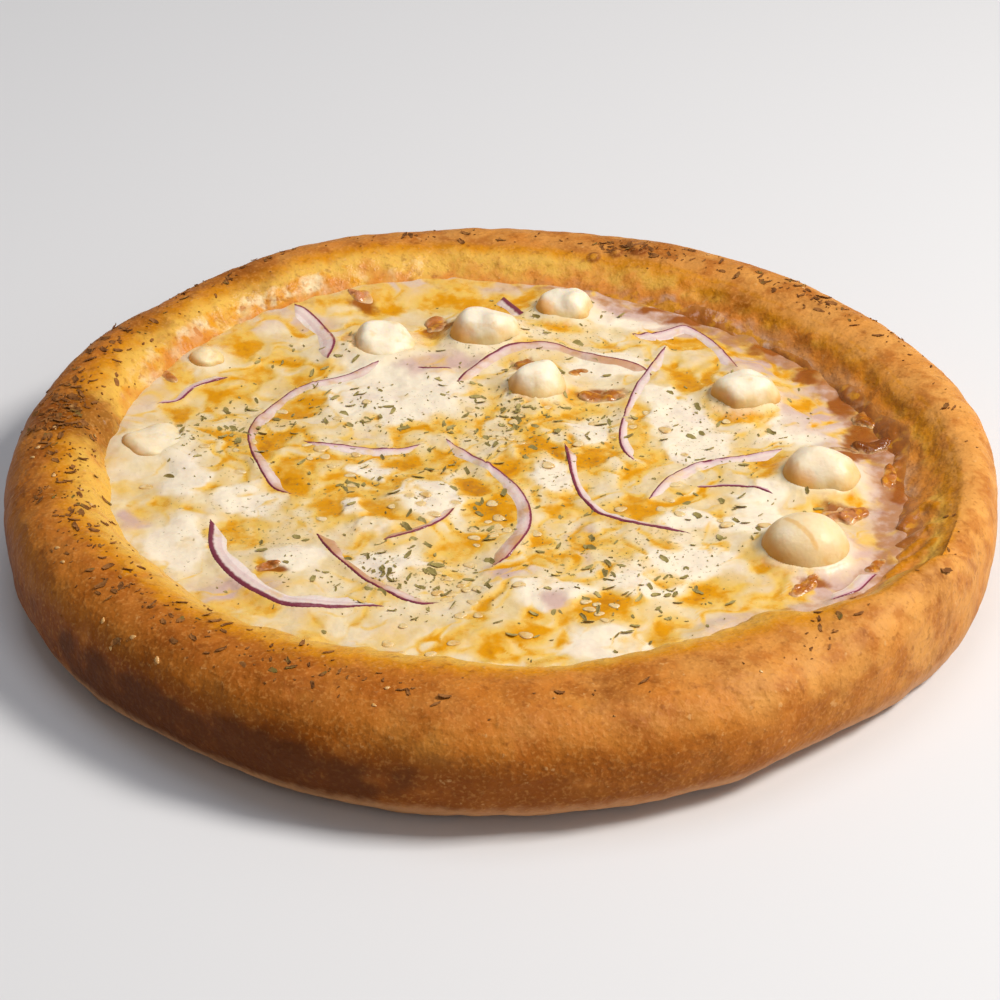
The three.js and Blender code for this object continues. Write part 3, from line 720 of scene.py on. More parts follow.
# Pools of butterfat: x, y, half length along x, half length along y, and depth of colour.
FAT_POOLS = (
    (-32, 2, 7.3, 5, 1.0), (-52, -14, 3.5, 3.4, 0.8), (-48, -29, 3, 2.2, 0.8),
    (-45, -52, 2.5, 1.6, 0.7), (-9, -13, 4.5, 5.3, 1.0), (-2, -25, 6.8, 7.8, 1.0),
    (3, -5, 4.4, 7.5, 1.0), (15, 6, 3.5, 3.2, 0.9), (19, -17, 4.2, 3.1, 1.0),
    (27, 0, 4.3, 5.8, 0.9), (11, -43, 2.2, 4.6, 0.8), (20, -53, 1.6, 2.9, 0.7),
    (29, -76, 8.1, 6.6, 1.0), (9, -81, 3.2, 2, 0.7), (6, -89, 4.8, 3.5, 0.8),
    (18, -92, 2.5, 3.4, 0.8), (2, -102, 2.5, 2.2, 0.7), (13, -103, 5.5, 2.2, 0.8),
    (-25, 22, 7, 2.4, 0.9), (-36, 100, 3.8, 3.5, 0.7), (2, 99, 3.3, 4.5, 0.7),
    (-48, 73, 2.4, 6.6, 0.8), (3, 76, 2.4, 3.3, 0.8), (19, 84, 4.9, 2.7, 0.8),
    (59, 50, 3.3, 7.3, 0.9), (57, 39, 2, 2.5, 0.8), (-61, 30, 2.3, 3.1, 0.8),
    (-42, 27, 2.6, 3.1, 0.8), (21, 42, 3.9, 3.1, 0.8), (44, 26, 1.6, 5.5, 0.8),
    (30, 6, 3.1, 3, 0.8), (67, 48, 2.1, 11.4, 0.8), (80, -2, 3.5, 4.4, 0.8),
    (64, -32, 2.5, 3, 0.7), (56, -68, 9, 5.7, 0.8), (47, -89, 4.1, 6.4, 0.8),
    (-71, 10, 5.8, 6, 0.9), (-64, -10, 6.6, 7.2, 0.9), (-85, 86, 3.6, 6.8, 0.7),
    (-104, 54, 3.5, 7.1, 0.7), (-95, 73, 4.7, 3, 0.6), (-100, -23, 1.6, 2.5, 0.6),
    (-78, -36, 5.9, 5.5, 0.6), (-68, -55, 3, 4.5, 0.6), (-51, -23, 4.2, 9, 0.9),
    (-15, 102, 12, 5.2, 0.6), (47, 76, 3.2, 3.3, 0.6), (74, 27, 7.2, 3.1, 0.6),
    (98, 23, 2.3, 2.4, 0.6), (-97, 93, 5.4, 4.5, 0.6), (-81, 104, 7, 3.2, 0.6),
    (-88, 44, 8, 5, 0.7), (-100, 30, 3, 8, 0.6), (-70, 62, 6, 4, 0.7), (-60, 100, 10, 4, 0.7),
    (-84, 72, 6, 6, 0.7),
)
# Whiter islands of cheese that stand a little higher: x, y and the two half lengths.
WHITE_ISLANDS = (
    (-22, -21, 9.9, 8.2), (-44, -25, 3, 5), (-37, -36, 7.1, 4.1), (15, -7, 4.8, 7.2),
    (30, -95, 9.5, 6.1), (-32, -54, 8.2, 5.3), (-39, -1, 6.7, 4.3), (-34, 42, 18, 14.5),
    (29, 18, 6.3, 6.3), (55, 26, 8.7, 8), (76, -29, 4.3, 5.5), (76, -17, 5.1, 4.8),
    (56, -33, 7.2, 3.9), (-94, -43, 5.8, 10.3), (-75, -19, 7.3, 7.9), (-60, -50, 5.8, 5.6),
    (-95, -8, 4.4, 9.2), (44, -60, 10, 8), (34, 60, 9, 6), (60, 10, 8, 6), (52, 36, 7, 9),
    (45, 92, 12, 7), (92, 19, 9, 8), (74, -35, 8, 6), (53, -54, 11, 7), (42, -65, 9, 6),
    (17, -72, 10, 6),
)
# Thin greyish pink places, where onion and sauce show through: x, y and the two half lengths.
THIN_PLACES = (
    (24, -44, 4.5, 9.4), (17, -76, 3.7, 5.1), (2, -60, 7.3, 6), (103, -47, 8.4, 9),
    (95, -68, 12, 8), (-109, -31, 4.3, 3.9), (-74, -68, 12.3, 9), (99, 33, 12.8, 15.8),
    (104, 0, 8, 16), (84, 62, 12, 8), (64, 82, 12, 7), (40, 96, 12, 6), (-64, 88, 9, 5),
    (-20, 60, 12, 6),
)
# Places where the fat spread out in a lace of veins: x, y and the two half lengths.
FAT_REGIONS = (
    (-5, -8, 60, 38), (62, 34, 28, 40), (-66, 20, 22, 40), (24, -84, 34, 20), (58, -66, 18, 18),
    (-15, 98, 46, 14), (-92, 80, 22, 26), (90, 10, 20, 20),
)
# Places where crushed herbs lie thick enough to speckle the cheese: x, y and the two half lengths.
HERBY_PLACES = (
    (8, 27, 30, 22), (-26, -62, 26, 18), (-84, 16, 22, 20), (36, -50, 36, 26), (0, 5, 60, 40),
    (10, 75, 36, 16), (-70, -30, 30, 30), (70, 20, 26, 26),
)
# Places where orange brown sauce shows: x, y and the two half lengths.
SAUCE_PLACES = (
    (90, -65, 8, 2), (112, 16, 7, 12), (107, 4, 9, 4), (104, -26, 8, 4), (120, -14, 3, 8),
    (108, 38, 4, 9), (98, 56, 5, 5), (86, 72, 6, 3), (120, -40, 3, 4), (31, 42, 9, 4),
    (7, 60, 5, 3), (-20, 84, 5, 5), (-47, 100, 5, 4), (50, 96, 6, 3), (60, 90, 6, 3),
    (-67, -56, 4, 2),
)
# Garlic granules that soaked in the fat: x, y and radius.
GRANULES = (
    (-54.9, 9.2, 1.9), (-44.6, -11.2, 1.2), (-52.7, -30.9, 1.3), (-32.1, -24.8, 1.2),
    (-19.8, -29.8, 1.5), (-2.7, -21.4, 1.5), (-8.0, -36.4, 1.4), (1.8, -36.4, 1.3),
    (10.3, -38.1, 1.4), (-15.5, -62.6, 1.3), (-9.7, -67.8, 1.2), (24.9, -78.5, 1.3),
    (27.5, -80.5, 1.1), (6.9, -91.0, 1.6), (-19.5, -98.8, 1.3), (-31.5, -93.9, 1.5),
    (-109.2, 9.2, 1.5), (-68.3, 33.5, 1.4), (-42.0, 36.0, 1.2), (-13.1, -93.9, 1.4),
)
# Drifts of more granules: x, y, spread and count.
GRANULE_DRIFTS = (
    (-12, -66, 13, 22), (-50, 4, 12, 11), (-44, 24, 12, 8), (-5, -34, 10, 9), (-22, -22, 8, 5),
    (5, 30, 26, 12), (36, 10, 20, 6), (48, -24, 14, 6), (-20, -92, 14, 5), (-84, -2, 18, 5),
    (70, -40, 18, 4), (28, -78, 6, 4), (62, 32, 16, 4),
)


def all_granules():
    """The granules that are listed, and the seeded drifts round them."""
    draw = random.Random(10)
    placed = list(GRANULES)
    for mx, my, away, count in GRANULE_DRIFTS:
        for _ in range(count):
            x, y = draw.gauss(mx, away / 2), draw.gauss(my, away / 2)
            size = draw.uniform(0.8, 1.7)
            if all(math.hypot(x - px, y - py) > size + near + 0.3 for px, py, near in placed):
                placed.append((x, y, size))
    return placed


granules = all_granules()


def inner_slope(turn, height):
    """Radius of the crust's inner slope at a height up to its upper bend."""
    _, top, crest, edge = rim_outline(turn)
    above = np.clip((height - CHEESE_LEVEL) / (top - SLOPE_DROP - CHEESE_LEVEL), 0, 1)
    below = np.maximum(CHEESE_LEVEL - height, 0)
    return edge + above * (1 - SLOPE_SHARE) * (crest - edge) - below * UNDERCUT


def spread(x, y, places):
    """How deep a point lies in the nearest oval place: 1 at a middle, 0 at an edge, less outside."""
    deepest = np.full(np.shape(x), -3.0)
    for px, py, half_x, half_y, *more in places:
        strength = more[0] if more else 1.0
        near = np.hypot((x - px) / (half_x * 1.25), (y - py) / (half_y * 1.25))
        deepest = np.maximum(deepest, strength * (1 - near))
    return deepest


def wander(x, y, size, amount, seed):
    """Pushes points about, so that outlines drawn on them turn ragged."""
    nothing = np.zeros_like(x)
    away_x = amount * grain(x, y, nothing, size, seed)
    away_y = amount * grain(x, y, nothing, size, seed + 1)
    return x + away_x, y + away_y


def cheese_fields(x, y):
    """Height of the melted cheese and the marks it is painted by, without what lies on it."""
    turn = np.degrees(np.arctan2(y, x))
    climb = around(RIM_STATIONS, turn, CLIMB)
    reach = inner_slope(turn, CHEESE_LEVEL + climb + CHEESE_ABOVE) - CHEESE_SHORT
    share = np.hypot(x, y) / reach
    inward = smoothstep(1 - share, 0, CHEESE_SHOULDER)
    swell = BROAD_SWELL * np.sin(x / 14 + 0.6) * np.cos(y / 12 - 0.4)
    swell += SMALL_SWELL * np.sin((x + y) / 8) * np.cos((x - 2 * y) / 15)
    z = CHEESE_LEVEL + CHEESE_ABOVE + climb * (1 - inward) ** 2 + inward * (swell + CHEESE_CROWN)
    flat = np.zeros_like(x)
    far_x, far_y = x, y
    for size, amount, seed in RAGGED_OUTLINES:
        far_x, far_y = wander(far_x, far_y, size, amount, seed)
    lumps = relief_of(far_x, far_y, flat, CHEESE_LUMPS)
    islands = smoothstep(spread(far_x, far_y, WHITE_ISLANDS), -0.4, 0.5)
    fat = spread(far_x, far_y, FAT_POOLS)
    region = smoothstep(spread(x, y, FAT_REGIONS), -0.5, 0.5)
    veins, fine_veins = (
        level - sharpness * np.abs(grain(far_x, far_y, flat, size, seed))
        for level, sharpness, size, seed in (VEINS, FINE_VEINS)
    )
    broken = relief_of(x, y, flat, VEIN_GAPS) - 0.35 * (1 - region) - 0.04
    fat = np.maximum(1.2 * fat, np.maximum(veins, fine_veins) + broken - 0.1)
    fat += relief_of(far_x, far_y, flat, FAT_RAGGED) * smoothstep(fat, -0.6, 0)
    fat -= 0.7 * islands
    fat *= np.where(fat > 0, smoothstep(1.02 - share, 0, 0.1), 1)
    pooled = smoothstep(fat, -0.1, 0.3)
    fine = relief_of(x, y, flat, CHEESE_GRAIN)
    uneven = 0.25 + 0.75 * inward
    z += uneven * (0.7 * lumps + 0.5 * islands + fine) * (1 - 0.6 * pooled) - 0.25 * pooled * inward
    cling = (1.0 + relief_of(x, y, flat, EDGE_CLING)) * (1 - 0.9 * around(FILM_STATIONS, turn))
    cling *= 1 - 0.5 * around(WET_STATIONS, turn)
    z += np.maximum(cling, 0) * smoothstep(share, 0.95, 1.02)
    sauce = spread(far_x, far_y, SAUCE_PLACES)
    z -= 0.4 * smoothstep(sauce, -0.1, 0.4) * inward
    thin = spread(far_x, far_y, THIN_PLACES)
    edge_zone = smoothstep(share, 0.90, 1.0)
    thin = np.maximum(thin, edge_zone * around(WET_STATIONS, turn) * 0.8 - 0.1)
    amber = np.zeros_like(x)
    for gx, gy, size in granules:
        ring = bell(np.hypot(x - gx, y - gy) - size, AMBER_WIDTH)
        amber = np.maximum(amber, (0.4 + 0.6 * region) * ring)
    marks = {
        "sauce": sauce,
        "amber": amber,
        "island": islands,
        "fat": fat,
        "thin": thin,
        "smear": edge_zone * around(WET_STATIONS, turn),
        "herby": 0.12 * smoothstep(spread(x, y, HERBY_PLACES), -0.6, 0.8),
    }
    return z, marks


def ball_skirts(x, y):
    """The foot of molten cheese round each ball, and how near each point is to a ball."""
    rise = np.zeros_like(x)
    near = np.zeros_like(x)
    for bx, by, width, height, uneven in MOZZARELLA_BALLS:
        reach = FOOT_REACH + FOOT_MELTED * uneven + relief_of(x, y, 0 * x, FOOT_RAGGED)
        away = (np.hypot(x - bx, (y - by) / BALL_BREADTH) - width / 2) / reach
        close = np.exp(-np.maximum(away, 0) * 1.3)
        share = FOOT_HEIGHT + FOOT_MELTED_HEIGHT * max(uneven - 0.02, 0)
        rise = np.maximum(rise, share * height * close)
        near = np.maximum(near, close)
    return rise, near


def cheese_top(x, y):
    """Height of the cheese sheet, without the feet of the balls."""
    x, y = np.asarray(x, float), np.asarray(y, float)
    return cheese_fields(x, y)[0]


def lying_height(x, y):
    """Height of the cheese with the feet of the balls, for what lies on it near them."""
    return cheese_top(x, y) + ball_skirts(np.asarray(x, float), np.asarray(y, float))[0]


def cheese_place(u, v):
    """Maps a square net onto the round sheet, out into the dough."""
    a, b = 2 * u - 1, 2 * v - 1
    disc_x = a * np.sqrt(1 - b * b / 2)
    disc_y = b * np.sqrt(1 - a * a / 2)
    turn = np.degrees(np.arctan2(disc_y, disc_x))
    climb = around(RIM_STATIONS, turn, CLIMB)
    reach = inner_slope(turn, CHEESE_LEVEL + climb) + CHEESE_INTO_DOUGH
    x, y = disc_x * reach, disc_y * reach
    z, marks = cheese_fields(x, y)
    rise, near = ball_skirts(x, y)
    marks["ball"] = near
    z += rise + onion_meniscus(x, y)
    return np.stack([x, y, z], axis=1), marks


# Red onion strips, as they lie on the cheese: width, to the left of the way the path runs where it
# is positive and to the right where it is negative, and the path of the skin edge.
ONION_STRIPS = (
    (8, ((-86, -30), (-85, -46), (-80, -58), (-70, -70), (-57, -78), (-32, -77))),
    (-7, ((-68, 98), (-61, 92), (-55, 81), (-53, 71), (-55, 62))),
    (5, ((-35, 63), (-51, 53), (-64, 47), (-74, 33), (-78, 15), (-70, -11), (-59, -19))),
    (-3.5, ((-61, 13), (-46, 11), (-33, 10), (-24, 12))),
    (-5.5, ((-18, 17), (-8, 5), (2, -7), (8, -20), (9, -34), (4, -49), (-5, -61))),
    (-3, ((-13, -24), (-17, -32), (-24, -39), (-36, -44))),
    (4.5, ((-55, -37), (-49, -50), (-41, -61), (-33, -69), (-24, -75), (-17, -74))),
    (4.5, ((19, 13), (20, 1), (22, -13), (27, -26), (38, -34), (56, -40))),
    (4.5, ((54, 76), (44, 52), (38, 30), (36, 15), (38, 5), (42, -1))),
    (-5, ((-17, 45), (-7, 62), (5, 71), (18, 72), (32, 66), (45, 60), (50, 50))),
    (3, ((-27, 57), (-21, 56), (-15, 57))),
    (-6, ((42, 81), (52, 84), (60, 88), (68, 80), (73, 68), (76, 56))),
    (5, ((87, 8), (73, 5), (58, 1), (48, -10), (43, -22))),
    (3, ((57, -13), (66, -13), (74, -15), (81, -19))),
    (4, ((-108, 35), (-101, 38), (-96, 46), (-86, 52))),
    (-6, ((1, 106), (4, 101), (8, 93))),
    (5, ((93, -74), (101, -70), (108, -60))),
)
ONION_STEP = 0.8
# How high and how wide the cheese clings to a strip.
CLING_RISE = 0.45
CLING_WIDTH = 1.5


def curve_through(points, step):
    """Evenly spaced points on a smooth curve through the given ones."""
    ends = [2 * np.array(points[0]) - points[1], 2 * np.array(points[-1]) - points[-2]]
    line = np.array([ends[0], *points, ends[1]], float)
    fine = []
    for leg in range(len(line) - 3):
        p0, p1, p2, p3 = line[leg:leg + 4]
        for t in np.linspace(0, 1, 12, endpoint=False):
            cubic = (2 * p0 - 5 * p1 + 4 * p2 - p3) * t * t + (3 * p1 - p0 - 3 * p2 + p3) * t ** 3
            fine.append(0.5 * (2 * p1 + (p2 - p0) * t + cubic))
    fine.append(line[-2])
    fine = np.array(fine)
    length = np.hypot(*np.diff(fine, axis=0).T).sum()
    return evenly(fine, max(6, int(round(length / step))))


onion_lines = [curve_through(path, ONION_STEP) for _, path in ONION_STRIPS]


def onion_meniscus(x, y):
    """The cheese that clings to each strip's skin edge."""
    cling = np.zeros_like(x)
    for line in onion_lines:
        low, high = line.min(axis=0) - 4, line.max(axis=0) + 4
        near = (x > low[0]) & (x < high[0]) & (y > low[1]) & (y < high[1])
        if near.any():
            gap = np.hypot(x[near][:, None] - line[::2, 0], y[near][:, None] - line[::2, 1]).min(axis=1)
            cling[near] = np.maximum(cling[near], CLING_RISE * bell(gap, CLING_WIDTH))
    return cling


cheese_mesh = mapped_grid("cheese_sheet", CHEESE_CELLS, CHEESE_CELLS, cheese_place)
cheese_shape = bmesh.new()
cheese_shape.from_mesh(cheese_mesh)
cheese_rim = [edge for edge in cheese_shape.edges if edge.is_boundary]
cheese_skirt = bmesh.ops.extrude_edge_only(cheese_shape, edges=cheese_rim)["geom"]
for corner in cheese_skirt:
    if isinstance(corner, bmesh.types.BMVert):
        corner.co.z = CHEESE_BOTTOM * MM
cheese_shape.to_mesh(cheese_mesh)
cheese_shape.free()
close_up(cheese_mesh, ends=True)

# Melted mozzarella: soft, milky and slightly translucent, cream where it is thick, yellow where
# butterfat soaks it and orange brown in the deepest pools. The fat is glossier than the cheese.
cheese_coats = (
    ("cream", None, 9.0, 1.0, -0.2, 0.15, "#e7d7b2", 0.9),
    ("warm", None, 14.0, 1.0, -0.02, 0.18, "#deb962", 0.65),
    ("islands", "island", 5.0, 0.8, -0.1, 0.6, "#f1e6ce", 0.95),
    ("lilac", None, 11.0, 1.0, 0.06, 0.22, "#dac8c2", 0.3),
    ("thin", "thin", 5.0, 0.7, -0.3, 0.7, "#c4a49c", 0.9),
    ("butter", "fat", 5.0, 0.8, -0.6, 0.2, "#e2b84a", 0.9),
    ("fat", "fat", 3.4, 1.4, -0.12, 0.6, "#d69200", 1.0),
    ("deep", "fat", 2.6, 1.6, 0.65, 1.2, "#b4720a", 0.7),
    ("halo", "ball", 4.0, 0.8, 0.4, 0.95, "#ecdfc2", 0.5),
    ("smear", "smear", 4.0, 1.6, 0.5, 1.1, "#a8703a", 0.8),
    ("sauce", "sauce", 3.0, 0.8, 0.0, 0.6, "#94500c", 0.95),
    ("amber", "amber", 1.6, 0.8, 0.3, 0.95, "#b8862e", 0.4),
    ("dust", "herby", 1.1, 1.0, 0.22, 0.3, "#8a7840", 0.7),
)
cheese_material = baked_food(
    "melted_mozzarella",
    "#dcc48e",
    cheese_coats,
    {
        "IOR": 1.45,
        "Specular IOR Level": 0.3,
        "Subsurface Weight": 0.15,
        "Subsurface Radius": (1.0, 0.7, 0.45),
        "Subsurface Scale": 0.0015,
    },
    ((6.0, 0.7), (2.0, 0.12)),
    gloss=("fat", 0.34, 0.16),
)
set_piece("cheese_sheet", cheese_mesh, cheese_material, "melted_cheese", "melted_cheese")


# Mozzarella balls
# Small fresh mozzarella balls set on the shredded cheese before baking. They slumped into smooth
# uneven domes, each with a foot that ran out into the cheese round it.
BALL_FINENESS = (6, 6, 5, 5, 5, 5, 5, 5, 5)
BALL_TONES = (0.6, 0.35, 0.15, 0.1, 0.0, 0.15, 0.15, 0.5, 0.7)
# How far a ball sank, how it flares at its foot, how round it stayed and how an uneven one sagged.
BALL_SUNK = 2.2
BALL_FLARE = 0.05
BALL_ROUNDNESS = 0.8
BALL_SAG = 1.6
# Lumps of the outline, on a ball 20 across, and dimples of the top: strength, size and seed.
BALL_LUMPS = ((2.2, 7.0, 70), (0.5, 4.4, 90))
BALL_DIMPLES = ((3.0, 4.6, 110),)
# The translucent crease over the largest ball, and the lobes of the others: which ball, x and y
# from its middle, radius and rise.
BALL_CREASE = ((82, -46), (86, -52), (90, -58))
BALL_CREASE_WIDTH = 0.9
BALL_LOBES = (
    (2, 6.5, -5.0, 6.0, 1.6), (2, -3.0, 3.0, 5.0, 0.8), (3, 5.0, -3.0, 4.5, 1.2),
    (4, 5.0, 1.0, 4.0, 1.0), (5, 4.0, -6.0, 5.0, 1.6), (5, -5.0, 3.0, 4.0, 1.2),
    (6, -4.0, 4.0, 5.0, 1.2), (7, 4.0, 1.0, 5.0, 0.8),
)


def unit_ball(name, fineness):
    """A mesh of even triangles round a ball of radius 1, and its points' coordinates."""
    ball = bmesh.new()
    bmesh.ops.create_icosphere(ball, subdivisions=fineness, radius=1)
    mesh = as_mesh(name, ball)
    mesh.shade_smooth()
    return mesh, *corners_of(mesh)


def ball_mesh(number, x, y, width, height, uneven, fineness):
    """One slumped ball: a dome with a running foot, made uneven by seeded lumps."""
    mesh, a, b, c = unit_ball(f"mozzarella_{number}", fineness)
    flare = 1 + BALL_FLARE * smoothstep(0.35 - np.abs(c), 0, 0.35)
    lump = 1 + uneven * relief_of(a * 10, b * 10, c * 10, BALL_LUMPS, number)
    px = x + a * width / 2 * flare * lump
    py = y + b * width / 2 * BALL_BREADTH * flare * lump
    rest = float(cheese_top(np.array([x]), np.array([y]))[0])
    dimples = uneven * relief_of(px, py, 0 * px, BALL_DIMPLES, number)
    slump = BALL_ROUNDNESS - BALL_SAG * uneven
    domed = np.abs(c) ** slump * height * lump ** 1.5 + dimples * c
    dome = np.where(c > 0, domed, -BALL_SUNK * np.abs(c))
    for which, lx, ly, reach, rise in BALL_LOBES:
        if which == number:
            near = bell(np.hypot(px - x - lx, py - y - ly), reach)
            dome += rise * near * smoothstep(c, 0, 0.5)
    apart, _ = path_distance(px, py, BALL_CREASE)
    marks = {
        "up": np.clip(c, 0, 1),
        # Painted shade on the side away from the light: the left, front and lower side.
        "shaded_side": -a - 0.4 * b - 0.6 * c,
        "crease": bell(apart, BALL_CREASE_WIDTH) * (c > 0) * (number == 1),
        "mellow": BALL_TONES[number - 1] + 0 * c,
    }
    lay_out(mesh, px, py, rest + dome, marks)
    return mesh


# Fresh mozzarella: dense, wet and milky, so light spreads in it. It is cream, painted whiter on top as
# painted light, and amber round the foot, where fat gathered and the skin dried, with painted shade and
# the cheese's reflected yellow there too. Its side away from the light is painted ochre, as painted
# shade over some browning.
ball_coats = (
    # Painted light: whiter towards the top.
    ("white_painted_light", "up", 6.0, 0.9, 0.2, 0.8, "#f3e9d4", 0.9),
    ("mellow", "mellow", 8.0, 0.8, 0.1, 1.0, "#e4c688", 0.9),
    ("streak", None, 5.0, 1.0, 0.08, 0.24, "#e4c078", 0.5),
    # Painted shade, with some browning, on the side away from the light.
    ("ochre_painted_shade", "shaded_side", 6.0, 0.9, 0.1, 0.9, "#dd9630", 0.85),
    # Amber round the foot: fat and dried skin, with painted shade and the cheese's reflected yellow.
    ("foot", "up", 4.0, -0.8, 0.38, -0.08, "#dba044", 0.8),
    ("crease", "crease", 2.0, 0.8, 0.2, 0.9, "#dca43a", 0.5),
)
ball_material = baked_food(
    "fresh_mozzarella",
    "#e4cb94",
    ball_coats,
    {
        "Roughness": 0.42,
        "IOR": 1.45,
        "Specular IOR Level": 0.35,
        "Subsurface Weight": 0.45,
        "Subsurface Radius": (1.0, 0.7, 0.4),
        "Subsurface Scale": 0.004,
    },
    ((3.5, 0.3), (1.4, 0.08)),
)
for number, (ball, fineness) in enumerate(zip(MOZZARELLA_BALLS, BALL_FINENESS), start=1):
    mesh = ball_mesh(number, *ball, fineness)
    set_piece(f"mozzarella_{number}", mesh, ball_material, "mozzarella", f"mozzarella_ball_{number}")


# Red onion
# Thin crescents cut across a red onion and laid on the cheese before baking. Each has a line of
# purple skin along its outer edge and pale, juicy flesh that lies down into the cheese.
# Points round a strip, heights of its skin edge and of its inner edge over the cheese, thickness,
# how quickly its tips widen, and how uneven its width and its face are.
ONION_ROUND = 14
ONION_CROWN = 0.85
ONION_HEEL = -0.4
ONION_THICK = 1.5
ONION_TAPER = 2.4
ONION_RAGGED = ((0.3, 14.0, 122),)
ONION_RIPPLE = ((0.18, 6.0, 121),)
# How each strip looks: how far its purple skin shows, in millimetres, and how stained its flesh is
# where the path starts and where it ends.
ONION_LOOKS = (
    (2.2, 0.0, 0.1), (1.4, 0.2, 0.5), (1.0, 0.4, 0.7), (0.9, 0.4, 0.1), (1.1, -0.1, 0.9),
    (0.8, 0.1, 0.8), (1.1, 1.0, 0.5), (1.4, 0.5, 0.0), (1.0, 0.0, 0.1), (1.2, 0.3, 0.9),
    (0.9, 0.4, 0.4), (1.0, -0.1, 0.3), (0.9, 0.2, 0.0), (0.8, 0.2, 0.2), (0.8, 0.4, 0.0),
    (2.6, 0.2, 0.2), (0.8, 0.0, 0.0),
)


def onion_points(width, line, skin, first_stain, last_stain):
    """Points and marks of one strip on its line of skin."""
    way = np.gradient(line, axis=0)
    way /= np.hypot(*way.T)[:, None]
    side = np.stack([-way[:, 1], way[:, 0]], axis=1) * np.sign(width)
    count = len(line) - 1

    def place(u, v):
        step = np.rint(u * count).astype(int)
        corner = np.rint(v * ONION_ROUND).astype(int) % ONION_ROUND
        t = step / count
        full = np.minimum(1, np.sin(np.pi * t) * ONION_TAPER + 0.08) * (t > 0) * (t < 1)
        angle = corner / ONION_ROUND * 2 * np.pi
        across = (1 - np.cos(angle)) / 2
        up = np.sin(angle)
        reach = abs(width) * np.maximum(full, 0.05)
        reach *= 1 + relief_of(line[step, 0], line[step, 1], 0 * t, ONION_RAGGED)
        x = line[step, 0] + side[step, 0] * reach * across
        y = line[step, 1] + side[step, 1] * reach * across
        blunt = np.sign(up) * np.abs(up) ** 0.6
        ripple = relief_of(x, y, 0 * x, ONION_RIPPLE)
        crown = ONION_CROWN - (ONION_CROWN - ONION_HEEL) * across ** 1.3 + ripple
        thick = ONION_THICK * (1 - 0.6 * across)
        z = lying_height(x, y) + crown * (0.55 + 0.45 * full) - (1 - blunt) / 2 * thick
        marks = {
            "from_skin": reach * across,
            "across": across,
            "skin": reach * across / skin,
            "stained": first_stain + (last_stain - first_stain) * t,
        }
        return np.stack([x, y, z], axis=1), marks

    return count, place


# Onion after baking: a shiny purple skin line, then lilac fading to nearly white flesh, soft and
# translucent, stained by fat and sauce in places.
onion_coats = (
    ("pale", "from_skin", 3.0, 0.6, 0.4, 2.2, "#e2d2c8", 0.9),
    ("rings", "from_skin", 1.2, 0.5, 2.6, 3.2, "#cfa9ac", 0.3),
    ("soaked", None, 6.0, 1.0, 0.0, 0.2, "#dcb878", 0.6),
    ("line", "from_skin", 1.0, 0.3, 4.0, 4.4, "#ecdfd8", 0.6),
    ("stain", "stained", 6.0, 1.2, 0.25, 0.85, "#bd8650", 0.8),
    ("cheese", "across", 3.0, 0.7, 0.55, 0.95, "#e4d3ae", 0.85),
    ("skin", "skin", 2.0, -0.5, 0.95, 0.6, "#741f38", 0.95),
)
onion_material = baked_food(
    "baked_red_onion",
    "#cda3ad",
    onion_coats,
    {
        "Roughness": 0.2,
        "IOR": 1.4,
        "Subsurface Weight": 0.2,
        "Subsurface Radius": (1.0, 0.6, 0.6),
        "Subsurface Scale": 0.001,
    },
    ((2.4, 0.2), (1.0, 0.1)),
)
for number, ((width, _), line, look) in enumerate(zip(ONION_STRIPS, onion_lines, ONION_LOOKS), start=1):
    count, place = onion_points(width, line, *look)
    mesh = mapped_grid(f"onion_{number}", count, ONION_ROUND, place)
    close_up(mesh)
    set_piece(f"onion_{number}", mesh, onion_material, "red_onion", f"onion_strip_{number}")


# Bacon bits
# Small scraps of smoked bacon and roasted onion end that browned in the oven, shiny with fat.
# They lie mostly at the right, where they sank a little into the cheese.
BACON_BITS = (
    # x, y, length, breadth, height, turn in degrees, how roasted from 0, pink, to 1, dark brown
    (102, -28, 13, 10, 4, 10, 0.2), (112, 10, 23, 6, 3, 22, 1.0), (114, 27, 13, 9, 3.5, 60, 0.6),
    (117, -7, 18, 5, 2.4, 84, 0.4), (123, -23, 11, 5, 2.4, 50, 0.5),
    (122, -38, 9, 4, 2.4, -30, 0.8), (86, -67, 15, 5, 3, 38, 0.5), (108, -55, 8, 4, 2.4, 48, 0.6),
    (32, 42, 13, 7, 3, -8, 0.5), (25, 56, 7, 5, 2.4, 20, 0.6), (-21, 87, 9, 7, 3, 80, 0.3),
    (-47, 104, 9, 6, 3, -40, 0.0), (8, 61, 7, 5, 2.4, 0, 0.5), (-105, 52, 8, 4, 2.4, -60, 0.3),
    (-67, -56, 7, 4, 2.2, 12, 0.3),
)
BACON_FINENESS = 5
BACON_SUNK = 0.5
# Unevenness of a bit: how strong, size of the lumps in millimetres, and seed.
BACON_RELIEF = ((0.28, 4.6, 130), (0.14, 2.2, 150))


def bacon_mesh(number, x, y, length, breadth, height, turn, roasted):
    """One scrap: a lump drawn out along its length, creased and pitted by seeded relief."""
    mesh, a, b, c = unit_ball(f"bacon_{number}", BACON_FINENESS)
    wx, wy, wz = a * length / 2, b * breadth / 2, c * height
    lump = 1 + relief_of(wx, wy, wz, BACON_RELIEF, number)
    wx, wy = wx * lump, wy * lump
    cos, sin = math.cos(math.radians(turn)), math.sin(math.radians(turn))
    px, py = x + wx * cos - wy * sin, y + wx * sin + wy * cos
    rest = lying_height(px, py)
    above = np.maximum(c, 0) ** 0.9 * height * 0.45 * lump ** 2.5
    pz = rest - BACON_SUNK + np.where(c > 0, above, c * 1.2)
    lay_out(mesh, px, py, pz, {"up": c * lump, "roasted": roasted + 0 * c})
    return mesh


